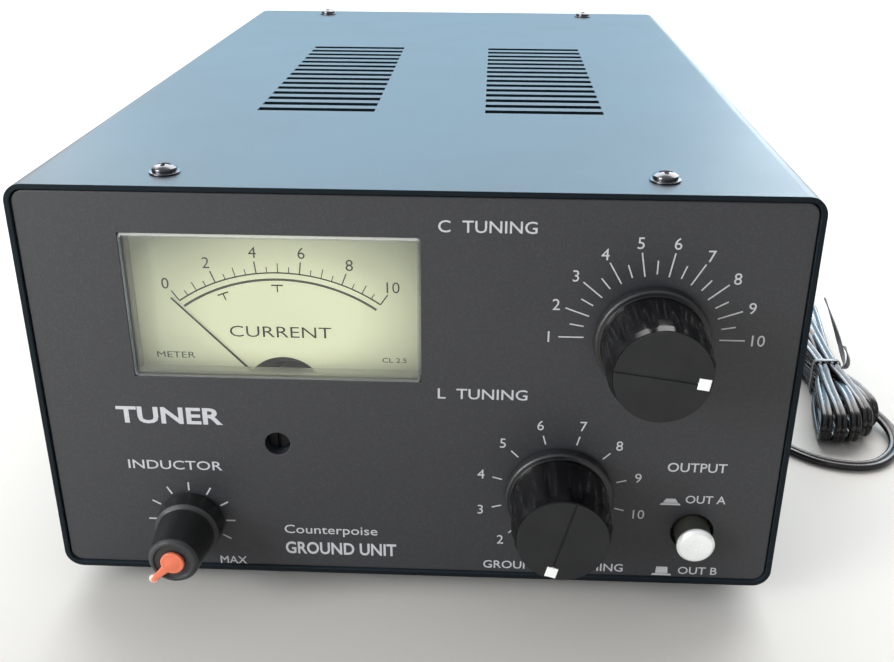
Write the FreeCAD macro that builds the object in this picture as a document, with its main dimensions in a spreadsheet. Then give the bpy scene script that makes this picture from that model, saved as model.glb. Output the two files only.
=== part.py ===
import FreeCAD, Part

import math
import os
import re

import Sketcher

# Tabletop antenna tuner of the artificial-ground kind.
# X runs right and Z up as seen from the front, and the front panel faces -Y.
# z = 0 is the plane that the rubber feet stand on.
# "Depth" is measured inward from the front edge of the case.

V = FreeCAD.Vector

# ---------------------------------------------------------------- driving dimensions (mm, degrees)
DIMS = {
    # case
    "case_width": 185, "case_height": 105, "case_depth": 282, "case_front": -142.075, "foot_height": 7,
    "corner_radius": 4.5, "sheet_thick": 1.2, "cover_split": 15, "slip": 0.1,
    "panel_depth": 0.5, "panel_thick": 2.5, "panel_gap": 0.3, "panel_corner": 3, "panel_edge": 0.4,
    "subpanel_depth": 3.1, "rear_panel_depth": 280.6, "flange_low": 8.6, "flange_top": 30,
    "tab_width": 20, "tab_length": 16, "tab_drop": 0.1, "subpanel_corner": 2.4, "punch": 3,
    # cover screws, vents and feet
    "cover_screw_x": 58, "cover_screw_front": 10.8, "cover_screw_rear": 272, "screw_radius": 1.4,
    "screw_hole": 1.6, "washer_radius": 3.6, "washer_thick": 0.5, "screw_head": 3, "head_height": 1.8,
    "screw_length": 6, "cross_width": 0.7, "cross_length": 3.2, "cross_depth": 1,
    "vent_inner": 16, "vent_length": 34, "vent_first": 78.3, "vent_pitch": 7.5, "vent_count": 15,
    "vent_width": 3.7, "foot_radius": 8, "foot_x": 72, "foot_front": 28, "foot_rear": 254,
    "foot_recess": 3.4, "foot_edge": 1.2,
    # panel meter
    "meter_x": -32.6, "meter_z": 82.2, "window_width": 70, "window_height": 37, "window_proud": 0.4,
    "pane_thick": 1.2, "window_wall": 0.8, "flange_depth": 4.4, "flange_thick": 1, "flange_width": 77,
    "flange_rise": 43, "case_bottom": 32, "meter_back": 34, "meter_wall": 1.6,
    "dial_depth": 6.6, "dial_thick": 0.8, "dial_width": 73.4, "dial_low": 61.5, "dial_high": 101.9,
    "notch_z": 56.8, "notch_radius": 10.05,
    "pivot_x": -32.1, "pivot_z": 54.5, "needle_depth": 6.1, "needle_thick": 0.2, "needle_reach": 38.3,
    "needle_tail": 5, "needle_width": 0.6, "needle_tip": 0.3, "needle_angle": 43.5, "hub_radius": 2.2,
    "staff_radius": 0.7, "pivot_play": 0.05, "coil_depth": 9, "coil_length": 12, "coil_half": 7.4,
    "coil_bar": 1.2, "coil_thick": 2, "coil_angle": 43.5, "coil_pivot": 3, "core_radius": 5,
    "core_length": 8.8, "yoke_bore": 9, "yoke_radius": 12.5, "yoke_length": 8,
    "bridge_depth": 21.4, "bridge_thick": 3, "bridge_side": 6,
    "bridge_leg": 3.3, "web_thick": 2.4,
    "spring_depth": 7, "spring_width": 0.6, "spring_start": 1.6, "spring_pitch": 0.8,
    "spring_wire": 0.2,
    "adjuster_x": -33.7, "adjuster_z": 45.7, "adjuster_radius": 2.75, "adjuster_play": 0.1,
    "adjuster_front": 3.3, "collar_radius": 3.3, "collar_thick": 0.4,
    "adjuster_slot": 0.9, "adjuster_slot_depth": 0.9, "zero_hole": 3.2,
    "terminal_radius": 2, "terminal_length": 12, "terminal_nut": 3.6, "terminal_x": 18,
    "terminal_z": 55,
    "lamp_radius": 2, "lamp_length": 8, "lamp_x": 20, "lamp_z": 98, "lamp_depth": 12,
    "lamp_socket": 2.6,
    # round control hardware shared by both tuning knobs
    "shaft_radius": 3, "shaft_play": 0.05, "bush_radius": 4.6, "bush_hole": 4.75, "bush_front": -2,
    "bush_flange": 7, "bush_flange_thick": 2, "nut_radius": 6.5, "nut_thick": 2.2, "ring_thick": 0.4,
    "knob_gap": 0.4, "knob_length": 20.1, "skirt_radius": 13.5, "skirt_height": 3, "body_radius": 12.1,
    "nose_radius": 11.8, "bevel": 0.8, "recess_radius": 8.5, "recess_depth": 4.5, "bore_depth": 14,
    "cap_radius": 10.9, "cap_thick": 0.9, "groove_width": 0.6, "groove_depth": 0.3, "marker_size": 2.7,
    "marker_radius": 9, "marker_proud": 0.15, "grub_radius": 1.5, "grub_height": 8, "grub_length": 4,
    "shaft_front": 13,
    # C tuning: air-spaced variable capacitor
    "c_x": 56.4, "c_z": 76.8, "c_angle": -8, "c_shaft_back": 56, "plate_thick": 0.6, "plate_pitch": 3.6,
    "rotor_count": 10, "rotor_radius": 15, "rotor_first": 13.8, "sleeve_radius": 4.2,
    "stator_width": 36,
    "stator_low": -18, "stator_high": -5, "stator_rod": 1.2, "stator_rod_x": 15, "stator_rod_z": -16,
    "frame_front": 6.5, "frame_back": 51.5, "frame_plate": 1.5, "frame_side": 46, "frame_rod": 1.6,
    "frame_rod_at": 20, "insulator_radius": 3, "insulator_length": 2,
    # L tuning: rotary switch that picks a tap of the coil
    "l_x": 36.8, "l_z": 33.2, "l_angle": 255, "l_shaft_back": 36, "detent_radius": 14,
    "detent_depth": 6.5,
    "detent_length": 6.5, "wafer_radius": 16, "wafer_thick": 1.6, "wafer_bore": 7.5, "wafer_front": 20,
    "wafer_back": 30, "switch_rotor": 7.2, "blade_width": 3, "blade_reach": 11, "blade_thick": 0.6,
    "contact_width": 2.4, "contact_thick": 0.5, "contact_start": 11.8, "contact_length": 7,
    "contact_count": 10,
    "switch_step": 30, "switch_rod": 1.5, "switch_rod_x": 13,
    "coil_x": -8, "coil_y": 160, "coil_z": 62, "winding_radius": 25.95, "wire_radius": 0.9,
    "turn_pitch": 4, "turn_count": 22, "former_radius": 25, "former_bore": 23, "former_length": 100,
    "stand_width": 54, "stand_height": 82, "stand_thick": 3,
    # inductor potentiometer
    "pot_x": -57.5, "pot_z": 22.3, "pot_angle": 224, "pot_radius": 8.5, "pot_length": 10,
    "pot_bush": 3.5,
    "pot_hole": 3.6, "pot_nut_radius": 5.4, "pot_knob_length": 18, "pot_skirt": 8.4,
    "pot_skirt_height": 5.6,
    "pot_body_radius": 7.3, "pot_nose_radius": 6.2, "pot_recess_radius": 6.2, "pot_recess_depth": 3.4,
    "pot_bore_depth": 13, "pot_shaft_front": 10.5, "pointer_radius": 2.9, "pointer_reach": 7.8,
    "pointer_tip": 1.5, "pointer_thick": 1, "pointer_sink": 0.5, "lug_width": 1.6, "lug_length": 5,
    # output push switch
    "button_x": 71.2, "button_z": 22.8, "button_radius": 4.75, "button_proud": 6.5, "button_tail": 2,
    "button_edge": 0.7, "button_cap_thick": 2, "barrel_step": 0.25, "button_hole": 5.45,
    "button_clear": 6.5, "plunger_side": 4, "plunger_back": 30,
    "switch_front": 6.2, "switch_back": 28, "switch_side": 13, "switch_play": 0.1,
    # rear terminals
    "post_x": -50, "post_pitch": 28, "post_count": 3, "post_z": 42, "post_base": 7,
    "post_base_thick": 3,
    "stud_radius": 2.4, "stud_inside": 14, "stud_outside": 22, "post_hole": 4, "thumb_radius": 7.2,
    "thumb_length": 12, "collar_long": 1.5, "post_collar": 5, "inner_nut": 4.5, "inner_nut_thick": 3.2,
    "flute_count": 12, "flute_radius": 0.8,
    # supply lead
    "lead_x": 70, "lead_z": 25, "lead_radius": 2, "bushing_radius": 5, "bushing_tip": 3,
    "bushing_flange": 7, "bushing_length": 12, "bushing_flange_thick": 2, "lead_hole": 5.1,
    "hank_x": 141, "hank_front": 82, "hank_back": 190, "hank_tie": 123, "hank_half": 12.8,
    "hank_waist": 5, "hank_low": 0.6, "hank_top": 13.8, "hank_shoulder": 6, "hank_neck": 3,
    "tie_width": 3, "tie_thick": 0.6,
    "plug_x": 141, "plug_radius": 5.2, "plug_body": 24, "plug_tail": 9, "plug_neck": 3,
    "barrel_radius": 2.75, "barrel_bore": 1.3, "barrel_length": 9.5,
    # circuit board
    "board_x": -78, "board_depth": 62, "board_width": 92, "board_length": 52, "board_z": 14.5,
    "board_thick": 1.6, "standoff_radius": 2.8, "standoff_inset": 5, "board_screw": 2.6,
    "relay_width": 20, "relay_depth": 13, "relay_height": 15, "part_radius": 3.4, "part_height": 9,
    "part_pitch": 11, "part_count": 4, "toroid_radius": 9, "toroid_wire": 4,
}

# Route of the supply lead's axis from its bushing to the hank: x, depth behind the case front, z.
LEAD_ROUTE = [
    (70, 293.8, 25), (70, 306, 24), (73, 318, 16.5), (81, 326, 7.5), (94, 326, 2), (105, 314, 2),
    (109, 288, 2), (106, 244, 2), (107, 196, 2), (104.5, 150, 2), (105.5, 115, 2),
    (110, 93, 2), (118.5, 79.5, 2), (129, 71, 2), (143, 70, 2), (153, 80, 2),
    (156.5, 91, 2), (151.5, 102, 2),
]

ALIAS = re.compile(r"\b(" + "|".join(DIMS) + r")\b")

doc = FreeCAD.newDocument("antenna_tuner")
sheet = doc.addObject("Spreadsheet::Sheet", "dims")
for row, (alias, value) in enumerate(DIMS.items(), start=1):
    sheet.set(f"A{row}", alias)
    sheet.set(f"B{row}", str(value))
    sheet.setAlias(f"B{row}", alias)
doc.recompute()

pieces = []


# ---------------------------------------------------------------- binding sizes to the sheet
def bind(obj, prop, text):
    """Bind a property to an expression in which the sheet's aliases are written as plain words."""
    obj.setExpression(prop, ALIAS.sub(r"dims.\1", str(text)))


def number(text):
    """Value of such an expression now."""
    return sheet.evalExpression(ALIAS.sub(r"dims.\1", str(text)))


def move(obj, x, y, z, turn=None):
    """Bind the object's place in the row's frame, with an optional fixed rotation."""
    if turn is not None:
        obj.Placement = FreeCAD.Placement(V(0, 0, 0), turn)
    bind(obj, "Placement.Base.x", x)
    bind(obj, "Placement.Base.y", y)
    bind(obj, "Placement.Base.z", z)
    return obj


def facing(spin=0):
    """Rotation of a piece drawn in front view: its X stays right, its Y goes up and its Z comes outward."""
    return FreeCAD.Rotation(V(1, 0, 0), 90) * FreeCAD.Rotation(V(0, 0, 1), spin)


def stand(obj, x, depth, z, spin=0):
    """Put a piece drawn in front view at a depth behind the front of the case."""
    return move(obj, x, f"case_front + ({depth})", z, facing(spin))


def piece(obj, label):
    """Register a finished sub-part under its own name."""
    obj.Label = label
    pieces.append(obj)
    return obj


# ---------------------------------------------------------------- Part primitives and booleans
def cylinder(name, radius, height, x=0, y=0, z=0, turn=None):
    obj = doc.addObject("Part::Cylinder", name)
    bind(obj, "Radius", radius)
    bind(obj, "Height", height)
    return move(obj, x, y, z, turn)


def rod(name, radius, length, x, depth_back, z):
    """Cylinder along Y whose inner end is at depth_back and that comes outward by its length."""
    return cylinder(name, radius, length, x, f"case_front + ({depth_back})", z, facing())


def cone(name, radius_low, radius_high, height, x=0, y=0, z=0, turn=None):
    obj = doc.addObject("Part::Cone", name)
    bind(obj, "Radius1", radius_low)
    bind(obj, "Radius2", radius_high)
    bind(obj, "Height", height)
    return move(obj, x, y, z, turn)


def box(name, size_x, size_y, size_z, x, y, z, turn=None):
    """Box from its low corner x, y, z."""
    obj = doc.addObject("Part::Box", name)
    bind(obj, "Length", size_x)
    bind(obj, "Width", size_y)
    bind(obj, "Height", size_z)
    return move(obj, x, y, z, turn)


def block(name, size_x, size_depth, size_z, centre_x, depth, low_z):
    """Box centred on centre_x, from a depth inward and from low_z upward."""
    left = f"{centre_x} - ({size_x}) / 2"
    return box(name, size_x, size_depth, size_z, left, f"case_front + ({depth})", low_z)


def cut(name, base, tools):
    obj = doc.addObject("Part::Cut", name)
    obj.Base = base
    obj.Tool = tools[0] if len(tools) == 1 else fuse(name + "_tools", tools)
    return obj


def fuse(name, shapes):
    obj = doc.addObject("Part::MultiFuse", name)
    obj.Shapes = shapes
    return obj


def group(name, solids):
    """Several separate solids in one sub-part."""
    obj = doc.addObject("Part::Compound", name)
    obj.Links = solids
    return obj


# ---------------------------------------------------------------- PartDesign bodies and sketches
def new_body(name):
    return doc.addObject("PartDesign::Body", name)


def new_sketch(body, name, role="XY_Plane", offset=None):
    """Sketch on one of the body's own origin planes, moved along its normal by offset."""
    sketch = body.newObject("Sketcher::SketchObject", name)
    plane = next(feature for feature in body.Origin.OriginFeatures if feature.Role == role)
    sketch.AttachmentSupport = [(plane, "")]
    sketch.MapMode = "FlatFace"
    if offset is not None:
        bind(sketch, "AttachmentOffset.Base.z", offset)
    return sketch


def fix(sketch, kind, index, point, text):
    """Hold one coordinate of a sketch point at an expression's value, from the sketch's origin."""
    constraint = sketch.addConstraint(Sketcher.Constraint(kind, -1, 1, index, point, number(text)))
    bind(sketch, f"Constraints[{constraint}]", text)


def polygon(sketch, corners):
    """Closed outline of straight lines through corners given as pairs of expressions."""
    places = [V(number(x), number(y), 0) for x, y in corners]
    first = sketch.GeometryCount
    count = len(corners)
    for index in range(count):
        sketch.addGeometry(Part.LineSegment(places[index], places[(index + 1) % count]), False)
    for index in range(count):
        after = first + (index + 1) % count
        sketch.addConstraint(Sketcher.Constraint("Coincident", first + index, 2, after, 1))
    for index, (x, y) in enumerate(corners):
        fix(sketch, "DistanceX", first + index, 1, x)
        fix(sketch, "DistanceY", first + index, 1, y)


def rectangle(sketch, width, height, x="0", y="0"):
    """Rectangle centred on x, y."""
    left, right = f"{x} - ({width}) / 2", f"{x} + ({width}) / 2"
    low, high = f"{y} - ({height}) / 2", f"{y} + ({height}) / 2"
    polygon(sketch, [(left, low), (right, low), (right, high), (left, high)])


def circle(sketch, radius, x="0", y="0"):
    centre = V(number(x), number(y), 0)
    index = sketch.addGeometry(Part.Circle(centre, V(0, 0, 1), number(radius)), False)
    fix(sketch, "DistanceX", index, 3, x)
    fix(sketch, "DistanceY", index, 3, y)
    constraint = sketch.addConstraint(Sketcher.Constraint("Radius", index, number(radius)))
    bind(sketch, f"Constraints[{constraint}]", radius)


def pad(body, name, sketch, length, inward=True):
    """Pad along the sketch's normal, or against it when inward."""
    feature = body.newObject("PartDesign::Pad", name)
    feature.Profile = sketch
    feature.Reversed = inward
    bind(feature, "Length", length)
    body.Tip = feature
    doc.recompute()
    return feature


def pocket(body, name, sketch, depth, forward=False):
    """Pocket against the sketch's normal, or along it when forward; it has to remove material."""
    before = body.Shape.Volume
    feature = body.newObject("PartDesign::Pocket", name)
    feature.Profile = sketch
    feature.Reversed = forward
    bind(feature, "Length", depth)
    body.Tip = feature
    doc.recompute()
    if body.Shape.Volume >= before:
        raise RuntimeError(f"{name} removes nothing")
    return feature


def revolve(body, name, sketch):
    """Full turn about the sketch's vertical axis."""
    feature = body.newObject("PartDesign::Revolution", name)
    feature.Profile = sketch
    feature.ReferenceAxis = (sketch, ["V_Axis"])
    feature.Angle = 360
    body.Tip = feature
    doc.recompute()
    return feature


def fillet(body, name, radius, wanted):
    """Round the body's edges that the test wanted picks."""
    base = body.Tip
    edges = [f"Edge{i}" for i, edge in enumerate(base.Shape.Edges, start=1) if wanted(edge)]
    feature = body.newObject("PartDesign::Fillet", name)
    feature.Base = (base, edges)
    bind(feature, "Radius", radius)
    body.Tip = feature
    doc.recompute()
    return feature


def along(axis, *tests):
    """Test for straight edges along an axis (0, 1 or 2) whose middle passes every further test."""
    def wanted(edge):
        start, end = edge.Vertexes[0].Point, edge.Vertexes[-1].Point
        across = [abs(start[i] - end[i]) for i in range(3) if i != axis]
        middle = (start + end) * 0.5
        return edge.Length > 1e-3 and max(across) < 1e-6 and all(test(middle) for test in tests)
    return wanted


# ---------------------------------------------------------------- casing
CASE_TOP = "(foot_height + case_height)"
HALF_WIDTH = "case_width / 2"
INNER_HALF = "(case_width / 2 - sheet_thick)"
SUBPANEL_HALF = "(case_width / 2 - sheet_thick - slip)"
CONTROLS = [("c_x", "c_z", "bush_hole"), ("l_x", "l_z", "bush_hole"), ("pot_x", "pot_z", "pot_hole")]
COVER_SCREWS = [(side, depth) for side in ("-cover_screw_x", "cover_screw_x")
                for depth in ("cover_screw_front", "cover_screw_rear")]
FEET = [(side, depth) for side in ("-foot_x", "foot_x") for depth in ("foot_front", "foot_rear")]


def mirrored(points):
    """The points followed by their mirror images across X = 0, which closes a symmetric outline."""
    return points + [(f"-({x})", y) for x, y in reversed(points)]


def bent_corner(x_limit, *tests):
    return along(2, lambda middle: abs(middle.x) > x_limit, *tests)


def upright_plate(body, name, depth):
    """Sheet across the case with cropped corners, from a depth inward."""
    low, high = "(foot_height + sheet_thick / 2)", f"({CASE_TOP} - sheet_thick - slip)"
    sketch = new_sketch(body, name + "_outline", offset=f"-({depth})")
    polygon(sketch, mirrored([
        (f"{SUBPANEL_HALF} - subpanel_corner", low), (SUBPANEL_HALF, f"{low} + subpanel_corner"),
        (SUBPANEL_HALF, f"{high} - subpanel_corner"), (f"{SUBPANEL_HALF} - subpanel_corner", high)]))
    pad(body, name, sketch, "sheet_thick")


def cover_tabs(body, name, depth):
    """Two tapped tabs under the cover's top, from a depth inward."""
    sketch = new_sketch(body, name + "_outline", offset=f"-({depth})")
    for side in ("-cover_screw_x", "cover_screw_x"):
        rectangle(sketch, "tab_width", "sheet_thick", side, f"{CASE_TOP} - sheet_thick * 1.5 - tab_drop")
    pad(body, name, sketch, "tab_length")


def make_chassis():
    body = stand(new_body("chassis_body"), 0, 0, 0)
    edge = "(cover_split - slip)"
    floor = "(foot_height + sheet_thick)"
    tray = new_sketch(body, "tray_outline")
    polygon(tray, [(f"-{HALF_WIDTH}", edge), (f"-{HALF_WIDTH}", "foot_height"), (HALF_WIDTH, "foot_height"),
                   (HALF_WIDTH, edge), (INNER_HALF, edge), (INNER_HALF, floor),
                   (f"-{INNER_HALF}", floor), (f"-{INNER_HALF}", edge)])
    pad(body, "tray", tray, "case_depth")
    outer_low = number("foot_height")
    fillet(body, "tray_bend", "corner_radius",
           bent_corner(number(INNER_HALF) + 1e-3, lambda middle: abs(middle.y - outer_low) < 1e-3))
    inner_low = number(floor)
    fillet(body, "tray_inner_bend", "corner_radius - sheet_thick",
           bent_corner(number(INNER_HALF) - 1e-3, lambda middle: abs(middle.y - inner_low) < 1e-3))
    flanges = new_sketch(body, "side_flanges_outline", offset="-subpanel_depth")
    for side in ("-1", "1"):
        rectangle(flanges, "sheet_thick", "flange_top - flange_low",
                  f"{side} * ({SUBPANEL_HALF} - sheet_thick / 2)", "(flange_top + flange_low) / 2")
    pad(body, "side_flanges", flanges, "rear_panel_depth - subpanel_depth")
    upright_plate(body, "front_subpanel", "subpanel_depth")
    upright_plate(body, "rear_panel", "rear_panel_depth")
    cover_tabs(body, "front_tabs", "subpanel_depth")
    cover_tabs(body, "rear_tabs", "rear_panel_depth + sheet_thick - tab_length")

    front_holes = new_sketch(body, "front_holes_outline", offset="slip - subpanel_depth")
    for x, z, radius in CONTROLS:
        circle(front_holes, radius, x, z)
    circle(front_holes, "button_clear", "button_x", "button_z")
    circle(front_holes, "adjuster_radius + 4 * slip", "adjuster_x", "adjuster_z")
    rectangle(front_holes, "window_width", "window_height", "meter_x", "meter_z")
    pocket(body, "front_holes", front_holes, "punch")

    rear_holes = new_sketch(body, "rear_holes_outline", offset="slip - rear_panel_depth")
    for index in range(int(number("post_count"))):
        circle(rear_holes, "post_hole", f"post_x + {index} * post_pitch", "post_z")
    circle(rear_holes, "lead_hole", "lead_x", "lead_z")
    pocket(body, "rear_holes", rear_holes, "punch")

    tapped = new_sketch(body, "tapped_holes_outline", "XZ_Plane", f"punch - {CASE_TOP}")
    for x, depth in COVER_SCREWS:
        circle(tapped, "screw_radius", x, f"-({depth})")
    pocket(body, "tapped_holes", tapped, "punch")

    foot_holes = new_sketch(body, "foot_holes_outline", "XZ_Plane", "slip - foot_height")
    for x, depth in FEET:
        circle(foot_holes, "screw_radius", x, f"-{depth}")
    pocket(body, "foot_holes", foot_holes, "punch")
    piece(body, "chassis")


def make_top_cover():
    body = stand(new_body("cover_body"), 0, 0, 0)
    ceiling = f"({CASE_TOP} - sheet_thick)"
    hood = new_sketch(body, "hood_outline")
    polygon(hood, [(f"-{HALF_WIDTH}", "cover_split"), (f"-{INNER_HALF}", "cover_split"),
                   (f"-{INNER_HALF}", ceiling), (INNER_HALF, ceiling), (INNER_HALF, "cover_split"),
                   (HALF_WIDTH, "cover_split"), (HALF_WIDTH, CASE_TOP), (f"-{HALF_WIDTH}", CASE_TOP)])
    pad(body, "hood", hood, "case_depth")
    top = number(CASE_TOP)
    fillet(body, "hood_bend", "corner_radius",
           bent_corner(number(INNER_HALF) + 1e-3, lambda middle: abs(middle.y - top) < 1e-3))
    inner_top = number(ceiling)
    fillet(body, "hood_inner_bend", "corner_radius - sheet_thick",
           bent_corner(number(INNER_HALF) - 1e-3, lambda middle: abs(middle.y - inner_top) < 1e-3))

    above = f"-({CASE_TOP} + slip)"
    holes = new_sketch(body, "cover_holes_outline", "XZ_Plane", above)
    for x, depth in COVER_SCREWS:
        circle(holes, "screw_hole", x, f"-{depth}")
    pocket(body, "cover_holes", holes, "punch", forward=True)

    slots = new_sketch(body, "vent_outline", "XZ_Plane", above)
    for side in ("-1", "1"):
        middle = f"{side} * (vent_inner + vent_length / 2)"
        rectangle(slots, "vent_length", "vent_width", middle, "-vent_first")
    first_slots = pocket(body, "vent_slots", slots, "punch", forward=True)
    pattern = body.newObject("PartDesign::LinearPattern", "vent_rows")
    pattern.Originals = [first_slots]
    pattern.Direction = (slots, ["V_Axis"])
    pattern.Reversed = True
    bind(pattern, "Length", "vent_pitch * (vent_count - 1)")
    bind(pattern, "Occurrences", "vent_count")
    body.Tip = pattern
    doc.recompute()
    piece(body, "top_cover")


def make_front_panel():
    body = stand(new_body("panel_body"), 0, "panel_depth", 0)
    middle_z = "foot_height + case_height / 2"
    face = new_sketch(body, "panel_outline")
    inset = "2 * (sheet_thick + panel_gap)"
    rectangle(face, f"case_width - {inset}", f"case_height - {inset}", "0", middle_z)
    pad(body, "panel_plate", face, "panel_thick")
    fillet(body, "panel_corners", "panel_corner", along(2))
    fillet(body, "panel_front_edge", "panel_edge",
           lambda edge: all(abs(vertex.Z) < 1e-6 for vertex in edge.Vertexes))
    holes = new_sketch(body, "panel_holes_outline", offset="slip")
    for x, z, radius in CONTROLS:
        circle(holes, radius, x, z)
    circle(holes, "button_hole", "button_x", "button_z")
    circle(holes, "zero_hole", "adjuster_x", "adjuster_z")
    rectangle(holes, "window_width", "window_height", "meter_x", "meter_z")
    pocket(body, "panel_holes", holes, "panel_thick + punch")
    piece(body, "front_panel")


def crosshead(name, x, y, z):
    """Pan-head screw with a cross recess, head up, whose head rests at height z."""
    head = cylinder(name + "_head", "screw_head", "head_height", x, y, z)
    shank = cylinder(name + "_shank", "screw_radius", "screw_length", x, y, f"{z} - screw_length")
    recess_z = f"{z} + head_height - cross_depth"
    arms = [box(f"{name}_arm_{index}", size_x, size_y, "head_height", f"{x} - ({size_x}) / 2",
                f"{y} - ({size_y}) / 2", recess_z)
            for index, (size_x, size_y) in enumerate([("cross_length", "cross_width"),
                                                      ("cross_width", "cross_length")])]
    return cut(name, fuse(name + "_blank", [head, shank]), arms)


def ring(name, outer, inner, height, x, y, z, turn=None):
    """Plain ring; it stands on z, or lies along the turned axis."""
    hole = cylinder(name + "_hole", inner, height, x, y, z, turn)
    return cut(name, cylinder(name + "_disc", outer, height, x, y, z, turn), [hole])


def make_cover_screws():
    solids = []
    for index, (x, depth) in enumerate(COVER_SCREWS, start=1):
        y = f"case_front + {depth}"
        washer = f"cover_washer_{index}"
        solids.append(ring(washer, "washer_radius", "screw_hole", "washer_thick", x, y, CASE_TOP))
        solids.append(crosshead(f"cover_screw_{index}", x, y, f"{CASE_TOP} + washer_thick"))
    piece(group("cover_screw_group", solids), "cover_screws")


def make_feet():
    feet, screws = [], []
    for index, (x, depth) in enumerate(FEET, start=1):
        y = f"case_front + {depth}"
        pad_shape = cone(f"foot_{index}_pad", "foot_radius - foot_edge", "foot_radius", "foot_height", x, y)
        recess = cylinder(f"foot_{index}_recess", "foot_recess", "foot_height / 2", x, y)
        hole = cylinder(f"foot_{index}_hole", "screw_hole", "foot_height", x, y)
        feet.append(cut(f"foot_{index}", pad_shape, [recess, hole]))
        head_z = "foot_height / 2 - head_height"
        head = cylinder(f"foot_screw_{index}_head", "screw_head", "head_height", x, y, head_z)
        shank_name = f"foot_screw_{index}_shank"
        shank = cylinder(shank_name, "screw_radius", "screw_length", x, y, "foot_height / 2")
        screws.append(fuse(f"foot_screw_{index}", [head, shank]))
    piece(group("foot_group", feet), "rubber_feet")
    piece(group("foot_screw_group", screws), "foot_screws")


# ---------------------------------------------------------------- panel meter
FLANGE_LOW = "(meter_z - flange_rise / 2)"
FLANGE_HIGH = "(meter_z + flange_rise / 2)"
WINDOW_FRONT = "(panel_depth - window_proud)"


def make_meter_window():
    deep = f"flange_depth + flange_thick - {WINDOW_FRONT}"
    wide, tall = "window_width - 2 * slip", "window_height - 2 * slip"
    outer = block("window_outer", wide, deep, tall, "meter_x", WINDOW_FRONT, f"meter_z - ({tall}) / 2")
    flange = block("window_flange", "flange_width", "flange_thick", "flange_rise",
                   "meter_x", "flange_depth", FLANGE_LOW)
    inner_tall = f"{tall} - 2 * window_wall"
    inner = block("window_inner", f"{wide} - 2 * window_wall", deep, inner_tall,
                  "meter_x", f"{WINDOW_FRONT} + pane_thick", f"meter_z - ({inner_tall}) / 2")
    piece(cut("window", fuse("window_blank", [outer, flange]), [inner]), "meter_window")


def make_meter_case():
    low, high = "case_bottom", FLANGE_HIGH
    outer = block("meter_shell", "flange_width", "meter_back - flange_depth", f"{high} - {low}",
                  "meter_x", "flange_depth", low)
    seat = block("window_seat", "flange_width + punch", "flange_thick + slip", "flange_rise + slip + punch",
                 "meter_x", "flange_depth - slip", f"{FLANGE_LOW} - slip")
    cavity = block("meter_cavity", "flange_width - 2 * meter_wall",
                   "meter_back - meter_wall - flange_depth - flange_thick",
                   f"{high} - {low} - 2 * meter_wall",
                   "meter_x", "flange_depth + flange_thick", f"{low} + meter_wall")
    adjuster_hole = rod("adjuster_hole", "adjuster_radius + adjuster_play", "flange_thick + 2 * slip",
                        "adjuster_x", "flange_depth + flange_thick + slip", "adjuster_z")
    back_holes = [rod(f"terminal_hole_{side}", "terminal_radius", "meter_wall + 2 * slip",
                      f"meter_x + {side} * terminal_x", "meter_back + slip", "terminal_z")
                  for side in (-1, 1)]
    piece(cut("meter_case_cut", outer, [seat, cavity, adjuster_hole] + back_holes), "meter_case")


def make_meter_dial():
    plate = block("dial_plate", "dial_width", "dial_thick", "dial_high - dial_low",
                  "meter_x", "dial_depth", "dial_low")
    notch = rod("dial_notch", "notch_radius", "dial_thick + 2 * slip",
                "pivot_x", "dial_depth + dial_thick + slip", "notch_z")
    piece(cut("dial_cut", plate, [notch]), "meter_dial")


def make_meter_needle():
    """Pointer, hub and front staff, turning about the pivot."""
    body = stand(new_body("needle_body"), "pivot_x", "needle_depth", "pivot_z", number("needle_angle"))
    outline = new_sketch(body, "pointer_outline")
    polygon(outline, [("-needle_width / 2", "-needle_tail"), ("needle_width / 2", "-needle_tail"),
                      ("needle_tip / 2", "needle_reach"), ("-needle_tip / 2", "needle_reach")])
    pad(body, "pointer", outline, "needle_thick")
    hub = new_sketch(body, "hub_outline")
    circle(hub, "hub_radius")
    pad(body, "hub", hub, "needle_thick")
    staff = new_sketch(body, "staff_outline")
    circle(staff, "staff_radius")
    pad(body, "front_staff", staff, "coil_depth - needle_depth")
    piece(body, "meter_needle")


def make_meter_coil():
    """Rectangular moving coil round the core, with its rear pivot."""
    half_inner = "(coil_half - coil_bar)"
    outer = box("coil_outer", "2 * coil_half", "coil_thick", "coil_length",
                "-coil_half", "-coil_thick / 2", "-coil_length")
    inner = box("coil_inner", f"2 * {half_inner}", "coil_thick + punch", "coil_length - 2 * coil_bar",
                f"-{half_inner}", "-(coil_thick + punch) / 2", "coil_bar - coil_length")
    pivot_back = "-coil_length - coil_pivot"
    rear_pivot = cylinder("coil_rear_pivot", "staff_radius", "coil_pivot", 0, 0, pivot_back)
    frame = cut("coil_ring", outer, [inner])
    coil = fuse("coil_whole", [frame, rear_pivot])
    stand(coil, "pivot_x", "coil_depth", "pivot_z", number("coil_angle"))
    piece(coil, "meter_coil")


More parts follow.
